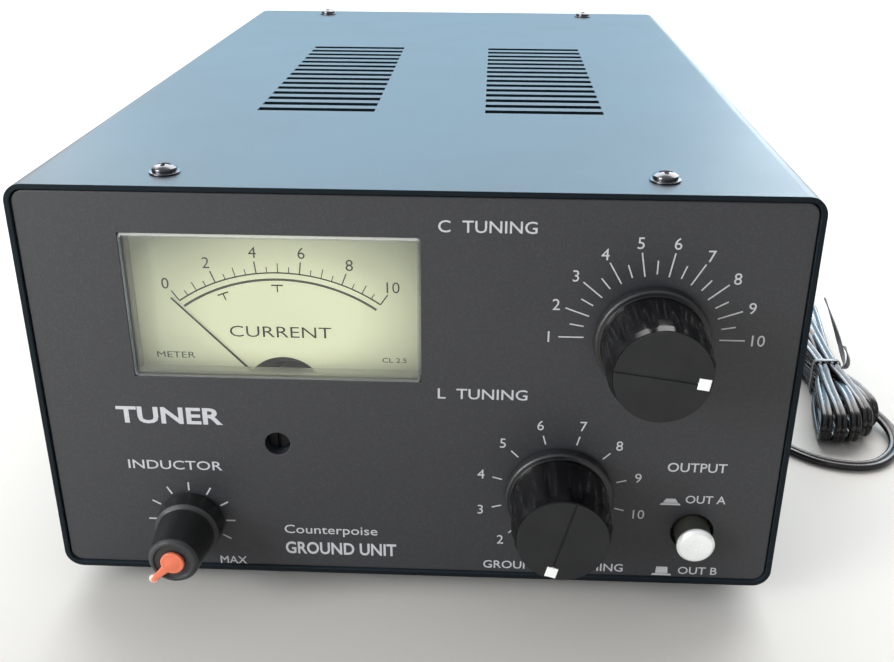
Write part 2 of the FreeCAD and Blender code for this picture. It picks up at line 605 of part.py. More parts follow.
def make_meter_magnet():
    """Soft-iron core on a web inside the ring magnet, and the bridge that holds the rear bearing."""
    core_back = "(coil_depth + coil_length / 2 + core_length / 2)"
    yoke_back = "(coil_depth + coil_length / 2 + yoke_length / 2)"
    core = rod("meter_core", "core_radius", "core_length", "pivot_x", core_back, "pivot_z")
    yoke = ring("meter_yoke", "yoke_radius", "yoke_bore", "yoke_length", "pivot_x",
                f"case_front + {yoke_back}", "pivot_z", facing())
    web = block("meter_web", "web_thick", "yoke_length", "yoke_bore - core_radius + 1",
                "pivot_x", f"{yoke_back} - yoke_length", "pivot_z - yoke_bore - 0.5")
    legs = [block(f"bridge_leg_{side}", "bridge_leg", f"bridge_depth + bridge_thick - {yoke_back}",
                  "bridge_side", f"pivot_x + {side} * (yoke_bore + yoke_radius) / 2", yoke_back,
                  "pivot_z - bridge_side / 2") for side in (-1, 1)]
    bridge = block("bridge", "yoke_bore + yoke_radius", "bridge_thick", "bridge_side",
                   "pivot_x", "bridge_depth", "pivot_z - bridge_side / 2")
    posts = [rod(f"bridge_post_{side}", "terminal_radius",
                 "meter_back - meter_wall - bridge_depth - bridge_thick", f"pivot_x + {side} * yoke_bore",
                 "meter_back - meter_wall", "pivot_z") for side in (-1, 1)]
    bearing = rod("bearing_hole", "staff_radius + pivot_play", "bridge_thick + 2 * slip",
                  "pivot_x", "bridge_depth + bridge_thick + slip", "pivot_z")
    solid = fuse("magnet_blank", [core, yoke, web, bridge] + legs + posts)
    piece(cut("magnet_cut", solid, [bearing]), "meter_magnet")


def semicircle(radius, centre_x, upper):
    """Half circle about centre_x, from right to left above the axis or from left to right below it."""
    sign = 1 if upper else -1
    return Part.Arc(V(centre_x + sign * radius, 0, 0), V(centre_x, sign * radius, 0),
                    V(centre_x - sign * radius, 0, 0)).toShape()


def make_hairspring():
    """Flat spiral of half circles; each half turn grows by half the pitch about a shifted centre."""
    start, pitch, wire = number("spring_start"), number("spring_pitch"), number("spring_wire")
    edges = {0: [], 1: []}
    for half in range(8):
        radius = start + half * pitch / 2
        centre = pitch / 2 if half % 2 else 0
        for side in (0, 1):
            edges[side].append(semicircle(radius + side * wire, centre, half % 2 == 0))
    ends = [(edges[0][0].Vertexes[0].Point, edges[1][0].Vertexes[0].Point),
            (edges[0][-1].Vertexes[-1].Point, edges[1][-1].Vertexes[-1].Point)]
    caps = [Part.LineSegment(*pair).toShape() for pair in ends]
    outline = Part.Wire(Part.__sortEdges__(edges[0] + edges[1] + caps))
    feature = doc.addObject("Part::Feature", "hairspring_shape")
    feature.Shape = Part.Face(outline).extrude(V(0, 0, -number("spring_width")))
    stand(feature, "pivot_x", "spring_depth", "pivot_z")
    piece(feature, "meter_hairspring")


def make_zero_adjuster():
    """Slotted screw in the case's lower front, held by a collar inside."""
    inside = "(flange_depth + flange_thick + slip / 2)"
    head = rod("adjuster_head", "adjuster_radius", f"{inside} - adjuster_front",
               "adjuster_x", inside, "adjuster_z")
    collar = rod("adjuster_collar", "collar_radius", "collar_thick", "adjuster_x",
                 f"{inside} + collar_thick", "adjuster_z")
    slot = block("adjuster_slot_cut", "adjuster_slot", "adjuster_slot_depth + slip", "4 * adjuster_radius",
                 "adjuster_x", "adjuster_front - slip", "adjuster_z - 2 * adjuster_radius")
    piece(cut("adjuster_cut", fuse("adjuster_blank", [head, collar]), [slot]), "zero_adjuster")


def make_meter_fittings():
    terminals, lamps = [], []
    for side in (-1, 1):
        x = f"meter_x + {side} * terminal_x"
        stud_back = "(meter_back + terminal_length - meter_wall)"
        terminals.append(rod(f"terminal_stud_{side}", "terminal_radius", "terminal_length",
                             x, stud_back, "terminal_z"))
        terminals.append(ring(f"terminal_nut_{side}", "terminal_nut", "terminal_radius", "nut_thick", x,
                              "case_front + meter_back + nut_thick", "terminal_z", facing()))
        lamp_x = f"meter_x + {side} * lamp_x"
        lamps.append(rod(f"lamp_glass_{side}", "lamp_radius", "lamp_length",
                         lamp_x, "lamp_depth + lamp_length", "lamp_z"))
        lamps.append(rod(f"lamp_socket_{side}", "lamp_socket",
                         "meter_back - meter_wall - lamp_depth - lamp_length",
                         lamp_x, "meter_back - meter_wall", "lamp_z"))
    piece(group("terminal_group", terminals), "meter_terminals")
    piece(group("lamp_group", lamps), "meter_lamps")


# ---------------------------------------------------------------- tuning knobs, bushings and nuts
def big_knob(letter, x, z, turned):
    """Knob with its cap disc, white marker and grub screw, its marker turned to an angle from the right."""
    back = "(panel_depth - knob_gap)"
    body = stand(new_body(f"{letter}_knob_body"), x, back, z, turned)
    profile = new_sketch(body, f"{letter}_knob_profile", "XZ_Plane")
    bore = "shaft_radius"
    polygon(profile, [
        ("recess_radius", "0"), ("skirt_radius", "0"), ("skirt_radius", "skirt_height"),
        ("body_radius", "skirt_height"), ("nose_radius", "knob_length - bevel"),
        ("nose_radius - bevel", "knob_length"), ("cap_radius", "knob_length"),
        ("cap_radius", "knob_length - cap_thick"), ("0", "knob_length - cap_thick"), ("0", "bore_depth"),
        (bore, "bore_depth"), (bore, "recess_depth"), ("recess_radius", "recess_depth")])
    revolve(body, f"{letter}_knob_turning", profile)
    tapping = new_sketch(body, f"{letter}_grub_hole_outline", "YZ_Plane")
    circle(tapping, "grub_radius", "0", "grub_height")
    pocket(body, f"{letter}_grub_hole", tapping, "skirt_radius")
    piece(body, f"{letter}_knob")

    grub = cylinder(f"{letter}_grub", "grub_radius", "grub_length", "-shaft_radius", 0, "grub_height",
                    FreeCAD.Rotation(V(0, 1, 0), -90))
    socket = cylinder(f"{letter}_grub_socket", "grub_radius / 2", "grub_length / 2",
                      "-shaft_radius - grub_length / 2", 0, "grub_height", FreeCAD.Rotation(V(0, 1, 0), -90))
    piece(stand(cut(f"{letter}_grub_cut", grub, [socket]), x, back, z, turned), f"{letter}_knob_screw")

    seat = "(knob_length - cap_thick)"
    marker_in = "(marker_radius - marker_size / 2)"
    disc = cylinder(f"{letter}_cap_disc", "cap_radius", "cap_thick", 0, 0, seat)
    notch = box(f"{letter}_cap_notch", "marker_size * 2", "marker_size", "cap_thick * 2",
                marker_in, "-marker_size / 2", f"{seat} - slip")
    groove = box(f"{letter}_cap_groove", "cap_radius * 2", "groove_width", "cap_thick",
                 "-cap_radius", "-groove_width / 2", "knob_length - groove_depth")
    cap = stand(cut(f"{letter}_cap_cut", disc, [notch, groove]), x, back, z, turned)
    piece(cap, f"{letter}_knob_cap")
    marker = box(f"{letter}_marker", "marker_size", "marker_size", "cap_thick + marker_proud",
                 marker_in, "-marker_size / 2", seat)
    piece(stand(group(f"{letter}_marker_set", [marker]), x, back, z, turned), f"{letter}_knob_marker")


def make_panel_hardware():
    """Threaded bushings of both tuning shafts, and the washers and nuts of all three controls."""
    bushings, nuts = [], []
    flange_back = "(flange_depth + bush_flange_thick)"
    for name, x, z in (("c", "c_x", "c_z"), ("l", "l_x", "l_z")):
        sleeve = rod(f"{name}_bush_sleeve", "bush_radius", f"{flange_back} - bush_front", x, flange_back, z)
        flange = rod(f"{name}_bush_flange", "bush_flange", "bush_flange_thick", x, flange_back, z)
        bore = rod(f"{name}_bush_bore", "shaft_radius + shaft_play",
                   f"{flange_back} - bush_front + 2 * slip",
                   x, f"{flange_back} + slip", z)
        bushings.append(cut(f"{name}_bushing", fuse(f"{name}_bush_blank", [sleeve, flange]), [bore]))
    for name, x, z, outer, inner in (("c", "c_x", "c_z", "nut_radius", "bush_radius"),
                                     ("l", "l_x", "l_z", "nut_radius", "bush_radius"),
                                     ("pot", "pot_x", "pot_z", "pot_nut_radius", "pot_bush")):
        nuts.append(ring(f"{name}_washer", f"{outer} + slip * 4", inner, "ring_thick", x,
                         "case_front + panel_depth", z, facing()))
        nuts.append(ring(f"{name}_nut", outer, inner, "nut_thick", x,
                         "case_front + panel_depth - ring_thick", z, facing()))
    piece(group("bushing_group", bushings), "shaft_bushings")
    piece(group("panel_nut_group", nuts), "panel_nuts")


# ---------------------------------------------------------------- C tuning: variable capacitor
def make_capacitor():
    axis = ("c_x", "c_z")
    shaft = rod("c_shaft_rod", "shaft_radius", "shaft_front + c_shaft_back",
                axis[0], "c_shaft_back", axis[1])
    piece(shaft, "c_shaft")

    plates = []
    for index in range(int(number("rotor_count"))):
        plate = cylinder(f"rotor_plate_{index}", "rotor_radius", "plate_thick",
                         0, 0, f"-rotor_first - plate_thick - {index} * plate_pitch",
                         FreeCAD.Rotation(V(0, 0, 1), 180))
        plate.Angle = 180
        plates.append(plate)
    stator_first = "(rotor_first - plate_pitch / 2)"
    last = f"({stator_first} + rotor_count * plate_pitch + plate_thick)"
    sleeve = cylinder("rotor_sleeve", "sleeve_radius", f"{last} - {stator_first}", 0, 0, f"-{last}")
    bore_length = f"{last} - {stator_first} + 2 * slip"
    bore = cylinder("rotor_bore", "shaft_radius", bore_length, 0, 0, f"-{last} - slip")
    rotor = cut("rotor", fuse("rotor_blank", plates + [sleeve]), [bore])
    piece(stand(rotor, axis[0], 0, axis[1]), "c_rotor_plates")

    rod_back = "(frame_back - insulator_length)"
    rod_front = "(frame_front + frame_plate + insulator_length)"
    stator = [block(f"stator_plate_{index}", "stator_width", "plate_thick", "stator_high - stator_low",
                    axis[0], f"{stator_first} + {index} * plate_pitch", f"{axis[1]} + stator_low")
              for index in range(int(number("rotor_count")) + 1)]
    insulators = []
    for side in (-1, 1):
        x, z = f"{axis[0]} + {side} * stator_rod_x", f"{axis[1]} + stator_rod_z"
        stator.append(rod(f"stator_rod_{side}", "stator_rod", f"{rod_back} - {rod_front}", x, rod_back, z))
        for end, back in (("front", rod_front), ("back", "frame_back")):
            insulators.append(rod(f"insulator_{end}_{side}", "insulator_radius", "insulator_length",
                                  x, back, z))
    piece(fuse("stator", stator), "c_stator_plates")
    piece(group("insulator_group", insulators), "c_insulators")

    ends = [block(f"frame_plate_{end}", "frame_side", "frame_plate", "frame_side", axis[0], depth,
                  f"{axis[1]} - frame_side / 2")
            for end, depth in (("front", "frame_front"), ("back", "frame_back"))]
    ties = [rod(f"frame_tie_{across}_{up}", "frame_rod", "frame_back - frame_front",
                f"{axis[0]} + {across} * frame_rod_at", "frame_back", f"{axis[1]} + {up} * frame_rod_at")
            for across in (-1, 1) for up in (-1, 1)]
    bore = rod("frame_bore", "shaft_radius + shaft_play", "frame_back + frame_plate", axis[0],
               "frame_back + frame_plate + slip", axis[1])
    piece(cut("frame", fuse("frame_blank", ends + ties), [bore]), "c_frame")


# ---------------------------------------------------------------- L tuning: rotary switch and tapped coil
def make_rotary_switch():
    x, z = "l_x", "l_z"
    piece(rod("l_shaft_rod", "shaft_radius", "shaft_front + l_shaft_back", x, "l_shaft_back", z), "l_shaft")

    detent_back = "(detent_depth + detent_length)"
    housing = rod("detent_housing", "detent_radius", "detent_length", x, detent_back, z)
    bore = rod("detent_bore", "shaft_radius + shaft_play", "detent_length + 2 * slip",
               x, f"{detent_back} + slip", z)
    rods_back = "(wafer_back + 2 * wafer_thick)"
    rods = [rod(f"switch_rod_{side}", "switch_rod", f"{rods_back} - {detent_back}",
                f"{x} + {side} * switch_rod_x", rods_back, z) for side in (-1, 1)]
    piece(cut("switch_frame_cut", fuse("switch_frame_blank", [housing] + rods), [bore]), "l_switch_frame")

    wafers, rotors, contacts = [], [], []
    for name, depth in (("front", "wafer_front"), ("back", "wafer_back")):
        back = f"({depth} + wafer_thick)"
        disc = rod(f"{name}_wafer_disc", "wafer_radius", "wafer_thick", x, back, z)
        holes = [rod(f"{name}_wafer_bore", "wafer_bore", "wafer_thick + 2 * slip", x, f"{back} + slip", z)]
        holes += [rod(f"{name}_wafer_hole_{side}", "switch_rod", "wafer_thick + 2 * slip",
                      f"{x} + {side} * switch_rod_x", f"{back} + slip", z) for side in (-1, 1)]
        wafers.append(cut(f"{name}_wafer", disc, holes))

        hub_length = "(wafer_thick + slip + blade_thick)"
        disc = cylinder(f"{name}_rotor_disc", "switch_rotor", "wafer_thick", 0, 0, "-wafer_thick")
        hub = cylinder(f"{name}_rotor_hub", "shaft_radius + 2", hub_length, 0, 0, f"-{hub_length}")
        blade = box(f"{name}_rotor_blade", "blade_reach", "blade_width", "blade_thick",
                    0, "-blade_width / 2", f"-{hub_length}")
        bore_length = f"{hub_length} + 2 * slip"
        bore = cylinder(f"{name}_rotor_bore", "shaft_radius", bore_length, 0, 0, f"-{hub_length} - slip")
        rotor = cut(f"{name}_rotor", fuse(f"{name}_rotor_blank", [disc, hub, blade]), [bore])
        rotors.append(stand(rotor, x, depth, z, number("l_angle")))

        for index in range(int(number("contact_count"))):
            lug = box(f"{name}_lug_{index}", "contact_length", "contact_width", "contact_thick",
                      "contact_start", "-contact_width / 2", "-contact_thick")
            spin = number("l_angle") - index * number("switch_step")
            contacts.append(stand(group(f"{name}_contact_{index}", [lug]), x, back, z, spin))
    piece(group("wafer_group", wafers), "l_switch_wafers")
    piece(group("switch_rotor_group", rotors), "l_switch_rotor")
    piece(group("contact_group", contacts), "l_switch_contacts")


def make_tapped_coil():
    """Single-layer coil lying across the case; its turns are separate rings on the former."""
    across = FreeCAD.Rotation(V(0, 1, 0), 90)
    y = "case_front + coil_y"
    turns = []
    for index in range(int(number("turn_count"))):
        turn = doc.addObject("Part::Torus", f"coil_turn_{index}")
        bind(turn, "Radius1", "winding_radius")
        bind(turn, "Radius2", "wire_radius")
        turn_x = f"coil_x + ({index} - (turn_count - 1) / 2) * turn_pitch"
        turns.append(move(turn, turn_x, y, "coil_z", across))
    piece(group("coil_group", turns), "coil_winding")

    former_start = "coil_x - former_length / 2"
    tube = cylinder("former_tube", "former_radius", "former_length", former_start, y, "coil_z", across)
    bore = cylinder("former_hole", "former_bore", "former_length + 2 * slip",
                    "coil_x - former_length / 2 - slip", y, "coil_z", across)
    stands = [box(f"former_stand_{name}", "stand_thick", "stand_width", "stand_height", x,
                  f"{y} - stand_width / 2", "foot_height + sheet_thick")
              for name, x in (("left", "coil_x - former_length / 2"),
                              ("right", "coil_x + former_length / 2 - stand_thick"))]
    piece(cut("former", fuse("former_blank", [tube] + stands), [bore]), "coil_former")


# ---------------------------------------------------------------- inductor potentiometer
def make_potentiometer():
    x, z = "pot_x", "pot_z"
    back = "(flange_depth + pot_length)"
    can = rod("pot_can", "pot_radius", "pot_length", x, back, z)
    sleeve = rod("pot_sleeve", "pot_bush", "flange_depth - bush_front", x, "flange_depth", z)
    lugs = [block(f"pot_lug_{index}", "lug_width", "contact_thick", "lug_length + 1",
                  f"{x} + {index} * 2 * lug_width", "flange_depth + 1", f"{z} - pot_radius - lug_length")
            for index in (-1, 0, 1)]
    bore = rod("pot_bore", "shaft_radius + shaft_play", f"{back} - bush_front - ring_thick",
               x, f"{back} - 2 * ring_thick", z)
    piece(cut("pot_cut", fuse("pot_blank", [can, sleeve] + lugs), [bore]), "pot_body")
    shaft_back = f"({back} - 3 * ring_thick)"
    shaft = rod("pot_shaft_rod", "shaft_radius", f"{shaft_back} + pot_shaft_front", x, shaft_back, z)
    piece(shaft, "pot_shaft")

    knob_back = "(panel_depth - knob_gap)"
    turned = number("pot_angle")
    body = stand(new_body("pot_knob_body"), x, knob_back, z, turned)
    profile = new_sketch(body, "pot_knob_profile", "XZ_Plane")
    polygon(profile, [
        ("pot_recess_radius", "0"), ("pot_skirt", "0"), ("pot_skirt", "pot_skirt_height"),
        ("pot_body_radius", "pot_skirt_height"), ("pot_nose_radius", "pot_knob_length"),
        ("0", "pot_knob_length"), ("0", "pot_bore_depth"), ("shaft_radius", "pot_bore_depth"),
        ("shaft_radius", "pot_recess_depth"), ("pot_recess_radius", "pot_recess_depth")])
    revolve(body, "pot_knob_turning", profile)
    for name, outline in (("disc", pointer_disc), ("arm", pointer_arm)):
        seat = new_sketch(body, f"pointer_seat_{name}_outline", offset="pot_knob_length")
        outline(seat)
        pocket(body, f"pointer_seat_{name}", seat, "pointer_sink")
    piece(body, "pot_knob")

    pointer = stand(new_body("pointer_body"), x, knob_back, z, turned)
    for name, outline in (("disc", pointer_disc), ("arm", pointer_arm)):
        face = new_sketch(pointer, f"pointer_{name}_outline", offset="pot_knob_length - pointer_sink")
        outline(face)
        pad(pointer, f"pointer_{name}", face, "pointer_thick", inward=False)
    piece(pointer, "pot_pointer")


def pointer_disc(sketch):
    circle(sketch, "pointer_radius")


def pointer_arm(sketch):
    polygon(sketch, [("0", "-pointer_radius"), ("pointer_reach", "-pointer_tip / 2"),
                     ("pointer_reach", "pointer_tip / 2"), ("0", "pointer_radius")])


# ---------------------------------------------------------------- output push switch
def make_push_switch():
    x, z = "button_x", "button_z"
    body = stand(new_body("button_body"), x, 0, z)
    face = new_sketch(body, "button_outline", offset="button_proud")
    circle(face, "button_radius")
    pad(body, "button_disc", face, "button_cap_thick")
    front = number("button_proud")

    def on_face(edge):
        flat = edge.BoundBox.ZLength < 1e-6
        return flat and all(abs(vertex.Z - front) < 1e-6 for vertex in edge.Vertexes)

    fillet(body, "button_round", "button_edge", on_face)
    piece(body, "button_cap")
    square = block("button_rod", "plunger_side", "plunger_back - button_tail", "plunger_side",
                   x, "button_tail", f"{z} - plunger_side / 2")
    sleeve = rod("button_sleeve", "button_radius - barrel_step",
                 "button_proud + button_tail - button_cap_thick", x, "button_tail", z)
    piece(fuse("plunger", [square, sleeve]), "button_plunger")

    shell = block("switch_shell", "switch_side", "switch_back - switch_front", "switch_side", x,
                  "switch_front", f"{z} - switch_side / 2")
    plate = block("switch_plate", "2 * switch_side", "switch_front - flange_depth", "switch_side", x,
                  "flange_depth", f"{z} - switch_side / 2")
    way_side = "(plunger_side + 2 * switch_play)"
    way = block("plunger_way", way_side, "switch_back", way_side, x, "slip", f"{z} - {way_side} / 2")
    mouth = rod("button_way", "button_radius + 3 * slip", "switch_front - flange_depth + slip",
                x, "switch_front", z)
    piece(cut("switch_cut", fuse("switch_blank", [shell, plate]), [way, mouth]), "switch_body")


# ---------------------------------------------------------------- rear terminals
REAR_FACE = "(rear_panel_depth + sheet_thick)"


def y_at(depth):
    return f"case_front + ({depth})"


def make_terminals():
    """Binding posts: insulators through the rear panel, studs with inner nuts, and fluted thumb nuts."""
    insulators, studs = [], []
    for index in range(int(number("post_count"))):
        x, z = f"(post_x + {index} * post_pitch)", "post_z"
        base_back = f"({REAR_FACE} + post_base_thick)"
        inner_front = "(rear_panel_depth - post_base_thick)"
        disc = rod(f"post_disc_{index}", "post_base", "post_base_thick", x, base_back, z)
        sleeve = rod(f"post_sleeve_{index}", "post_hole", f"{base_back} - {inner_front}", x, base_back, z)
        bore = rod(f"post_bore_{index}", "stud_radius", f"{base_back} - {inner_front} + 2 * slip",
                   x, f"{base_back} + slip", z)
        blank = fuse(f"post_blank_{index}", [disc, sleeve])
        insulators.append(cut(f"post_insulator_{index}", blank, [bore]))
        insulators.append(ring(f"post_inner_washer_{index}", "post_base", "post_hole", "post_base_thick",
                               x, y_at("rear_panel_depth"), z, facing()))
        stud = rod(f"stud_rod_{index}", "stud_radius", "stud_inside + stud_outside", x,
                   f"{REAR_FACE} + stud_outside", z)
        collar_back = f"{base_back} + collar_long"
        collar = rod(f"stud_collar_{index}", "post_collar", "collar_long", x, collar_back, z)
        studs.append(fuse(f"stud_{index}", [stud, collar]))
        studs.append(ring(f"inner_nut_{index}", "inner_nut", "stud_radius", "inner_nut_thick", x,
                          y_at(inner_front), z, facing()))
        thumb_nut(index, x, z, f"({base_back} + collar_long + slip)")
    piece(group("post_insulator_group", insulators), "post_insulators")
    piece(group("post_stud_group", studs), "post_studs")


def thumb_nut(index, x, z, front):
    """Round nut with flutes along its rim."""
    back = f"({front} + thumb_length)"
    blank = rod(f"thumb_blank_{index}", "thumb_radius", "thumb_length", x, back, z)
    tools = [rod(f"thumb_bore_{index}", "stud_radius + shaft_play", "thumb_length + 2 * slip",
                 x, f"{back} + slip", z)]
    for flute in range(int(number("flute_count"))):
        angle = f"{flute} * 360 / flute_count"
        tools.append(rod(f"flute_{index}_{flute}", "flute_radius", "thumb_length + 2 * slip",
                         f"{x} + thumb_radius * cos({angle})", f"{back} + slip",
                         f"{z} + thumb_radius * sin({angle})"))
    piece(cut(f"thumb_cut_{index}", blank, tools), f"thumb_nut_{index + 1}")


# ---------------------------------------------------------------- supply lead
def rounded_path(points):
    """Straight runs joined by tangent arcs, each as large as its two runs allow, and the arcs' radii."""
    edges, radii = [], []
    start = points[0]
    for before, corner, after in zip(points, points[1:], points[2:]):
        into, out = (corner - before).normalize(), (after - corner).normalize()
        turn = into.getAngle(out)
        reach = 0.45 * min(before.distanceToPoint(corner), corner.distanceToPoint(after))
        radius = reach / math.tan(turn / 2)
        centre = corner + (out - into).normalize() * (radius / math.cos(turn / 2))
        middle = centre + (corner - centre).normalize() * radius
        first, last = corner - into * reach, corner + out * reach
        edges.append(Part.LineSegment(start, first).toShape())
        edges.append(Part.Arc(first, middle, last).toShape())
        radii.append(radius)
        start = last
    edges.append(Part.LineSegment(start, points[-1]).toShape())
    return Part.Wire(edges), radii


def make_lead():
    """Thin lead from its bushing round to the hank beside the case."""
    front = number("case_front")
    points = [V(x, front + depth, z) for x, depth, z in LEAD_ROUTE]
    path, radii = rounded_path(points)
    radius = number("lead_radius")
    section = Part.Wire([Part.Circle(points[0], points[1] - points[0], radius).toShape()])
    shape = path.makePipeShell([section], True, True)
    expected = math.pi * radius ** 2 * path.Length
    if abs(shape.Volume - expected) > 0.01 * expected:
        raise RuntimeError(f"lead volume {shape.Volume:.0f}, expected {expected:.0f}")
    print("lead length", round(path.Length, 1), "arc radii", [round(value, 1) for value in radii])
    feature = doc.addObject("Part::Feature", "lead_shape")
    feature.Shape = shape
    piece(feature, "cord_lead")


def make_lead_bushing():
    x, z = "lead_x", "lead_z"
    tip = f"({REAR_FACE} + bushing_length)"
    taper_from = f"({REAR_FACE} + bushing_flange_thick)"
    taper = cone("bushing_taper", "bushing_tip", "bushing_radius", f"{tip} - {taper_from}",
                 x, y_at(tip), z, facing())
    flange = rod("bushing_flange_disc", "bushing_flange", "bushing_flange_thick", x, taper_from, z)
    neck = rod("bushing_neck", "bushing_radius", "sheet_thick + bushing_flange_thick", x, REAR_FACE, z)
    piece(fuse("bushing", [taper, flange, neck]), "cord_bushing")


def make_hank():
    """Outer shape of the folded lead, drawn in by its tie, and the plug behind it."""
    body = move(new_body("hank_body"), "hank_x", y_at(0), "hank_low")
    outline = new_sketch(body, "hank_outline")
    polygon(outline, mirrored([
        ("hank_half - hank_shoulder", "hank_front"), ("hank_half", "hank_front + hank_shoulder"),
        ("hank_half", "hank_front + 3 * hank_shoulder"), ("hank_waist", "hank_tie - hank_neck"),
        ("hank_waist", "hank_tie + hank_neck"), ("hank_half", "hank_back - 3 * hank_shoulder"),
        ("hank_half", "hank_back - hank_shoulder"), ("hank_half - hank_shoulder", "hank_back")]))
    pad(body, "hank_bundle", outline, "hank_top - hank_low", inward=False)
    piece(body, "cord_hank")

    outer_width = "(2 * (hank_waist + tie_thick))"
    outer = block("tie_outer", outer_width, "tie_width", "hank_top + tie_thick", "hank_x",
                  "hank_tie - tie_width / 2", "0")
    inner = block("tie_inner", "2 * hank_waist", "tie_width + 2 * slip", "hank_top - hank_low", "hank_x",
                  "hank_tie - tie_width / 2 - slip", "hank_low")
    piece(cut("tie_cut", outer, [inner]), "hank_tie")

    z = "plug_radius"
    tail_back = "(hank_back + plug_tail)"
    body_back = f"({tail_back} + plug_body)"
    barrel_back = f"({body_back} + barrel_length)"
    tail = cone("plug_tail_cone", "plug_radius", "plug_neck", "plug_tail",
                "plug_x", y_at(tail_back), z, facing())
    handle = rod("plug_handle", "plug_radius", "plug_body", "plug_x", body_back, z)
    barrel = rod("plug_barrel", "barrel_radius", "barrel_length", "plug_x", barrel_back, z)
    bore = rod("plug_barrel_bore", "barrel_bore", "barrel_length + slip",
               "plug_x", f"{barrel_back} + slip", z)
    piece(cut("plug_cut", fuse("plug_blank", [tail, handle, barrel]), [bore]), "dc_plug")


# ---------------------------------------------------------------- circuit board
def make_board():
    top = "(board_z + board_thick)"
    floor = "(foot_height + sheet_thick)"
    board = box("board_sheet", "board_width", "board_length", "board_thick",
                "board_x", y_at("board_depth"), "board_z")
    holes, fixings = [], []
    for across in (0, 1):
        for deep in (0, 1):
            tag = f"{across}_{deep}"
            x = f"board_x + standoff_inset + {across} * (board_width - 2 * standoff_inset)"
            y = y_at(f"board_depth + standoff_inset + {deep} * (board_length - 2 * standoff_inset)")
            holes.append(cylinder(f"board_hole_{tag}", "screw_radius", "board_thick * 3",
                                  x, y, "board_z - board_thick"))
            fixings.append(ring(f"standoff_{tag}", "standoff_radius", "screw_radius",
                                f"board_z - {floor}", x, y, floor))
            shank = cylinder(f"board_shank_{tag}", "screw_radius", f"{top} - {floor}", x, y, floor)
            head = cylinder(f"board_head_{tag}", "board_screw", "head_height", x, y, top)
            fixings.append(fuse(f"board_screw_{tag}", [shank, head]))
    piece(cut("board_cut", board, holes), "circuit_board")
    piece(group("fixing_group", fixings), "board_standoffs")

    middle_y = y_at("board_depth + board_length / 2")
    parts = [box("relay", "relay_width", "relay_depth", "relay_height", "board_x + 3 * standoff_inset",
                 middle_y, top)]
    for index in range(int(number("part_count"))):
        parts.append(cylinder(f"can_{index}", "part_radius", "part_height",
                              f"board_x + board_width / 2 + {index} * part_pitch - part_pitch",
                              y_at("board_depth + 2 * standoff_inset"), top))
    toroid = doc.addObject("Part::Torus", "pickup_toroid")
    bind(toroid, "Radius1", "toroid_radius")
    bind(toroid, "Radius2", "toroid_wire")
    toroid_x = "board_x + board_width - 4 * standoff_inset"
    parts.append(move(toroid, toroid_x, middle_y, f"{top} + toroid_wire + slip"))
    piece(group("board_part_group", parts), "board_parts")


# ---------------------------------------------------------------- build, check and write every sub-part
def main():
    for make in (make_chassis, make_top_cover, make_front_panel, make_cover_screws, make_feet,
                 make_meter_window, make_meter_case, make_meter_dial, make_meter_needle, make_meter_coil,
                 make_meter_magnet, make_hairspring, make_zero_adjuster, make_meter_fittings):
        make()
    big_knob("c", "c_x", "c_z", number("c_angle"))
    big_knob("l", "l_x", "l_z", number("l_angle"))
    for make in (make_panel_hardware, make_capacitor, make_rotary_switch, make_tapped_coil,
                 make_potentiometer, make_push_switch, make_terminals, make_lead_bushing, make_lead,
                 make_hank, make_board):
        make()
    doc.recompute()

    failed = [obj.Name for obj in doc.Objects if "Invalid" in obj.State or "Error" in obj.State]
    failed += [obj.Label for obj in pieces
               if obj.Shape.isNull() or not obj.Shape.isValid() or not obj.Shape.Solids]
    if failed:
        raise RuntimeError(f"failed objects: {failed}")
    os.makedirs("parts", exist_ok=True)
    for obj in pieces:
        obj.Shape.exportStep(f"parts/{obj.Label}.step")
    print(len(pieces), "sub-parts")


main()
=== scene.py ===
import math

import bmesh
import bpy
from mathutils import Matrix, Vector


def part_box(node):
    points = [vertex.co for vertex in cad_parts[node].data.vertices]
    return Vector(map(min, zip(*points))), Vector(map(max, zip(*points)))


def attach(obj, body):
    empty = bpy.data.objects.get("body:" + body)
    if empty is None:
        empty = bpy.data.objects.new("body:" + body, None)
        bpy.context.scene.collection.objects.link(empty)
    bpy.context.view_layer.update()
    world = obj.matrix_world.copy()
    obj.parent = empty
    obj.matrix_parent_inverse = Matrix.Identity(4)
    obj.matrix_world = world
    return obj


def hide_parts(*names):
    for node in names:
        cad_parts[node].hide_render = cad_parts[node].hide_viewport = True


# Looks of a tabletop antenna tuner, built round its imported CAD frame.
# X runs right and Z up as seen from the front, the front panel faces -Y, and everything is in metres.
# Outlines are written in millimetres, as (x, z) on the panel or (radius, height) about a turned piece's
# axis, and "depth" is measured inward from the front edge of the case.

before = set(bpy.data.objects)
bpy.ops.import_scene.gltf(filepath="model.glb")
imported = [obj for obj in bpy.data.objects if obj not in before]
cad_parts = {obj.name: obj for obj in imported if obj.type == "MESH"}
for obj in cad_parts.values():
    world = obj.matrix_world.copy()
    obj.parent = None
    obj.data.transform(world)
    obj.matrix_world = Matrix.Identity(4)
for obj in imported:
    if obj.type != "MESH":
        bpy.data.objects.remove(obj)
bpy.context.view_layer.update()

MM = 0.001
UPWARD, INWARD = Vector((0, 0, 1)), Vector((0, 1, 0))
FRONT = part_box("chassis")[0].y
PANEL = (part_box("front_panel")[0].y - FRONT) / MM
DIAL = (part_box("meter_dial")[0].y - FRONT) / MM


def at(x, depth, z):
    """A point in the shared frame from x, depth and z in millimetres."""
    return Vector((x * MM, FRONT + depth * MM, z * MM))


def centre(node):
    """The middle of a CAD node's box, in millimetres, as (x, depth, z)."""
    low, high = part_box(node)
    middle = (low + high) / 2
    return middle.x / MM, (middle.y - FRONT) / MM, middle.z / MM


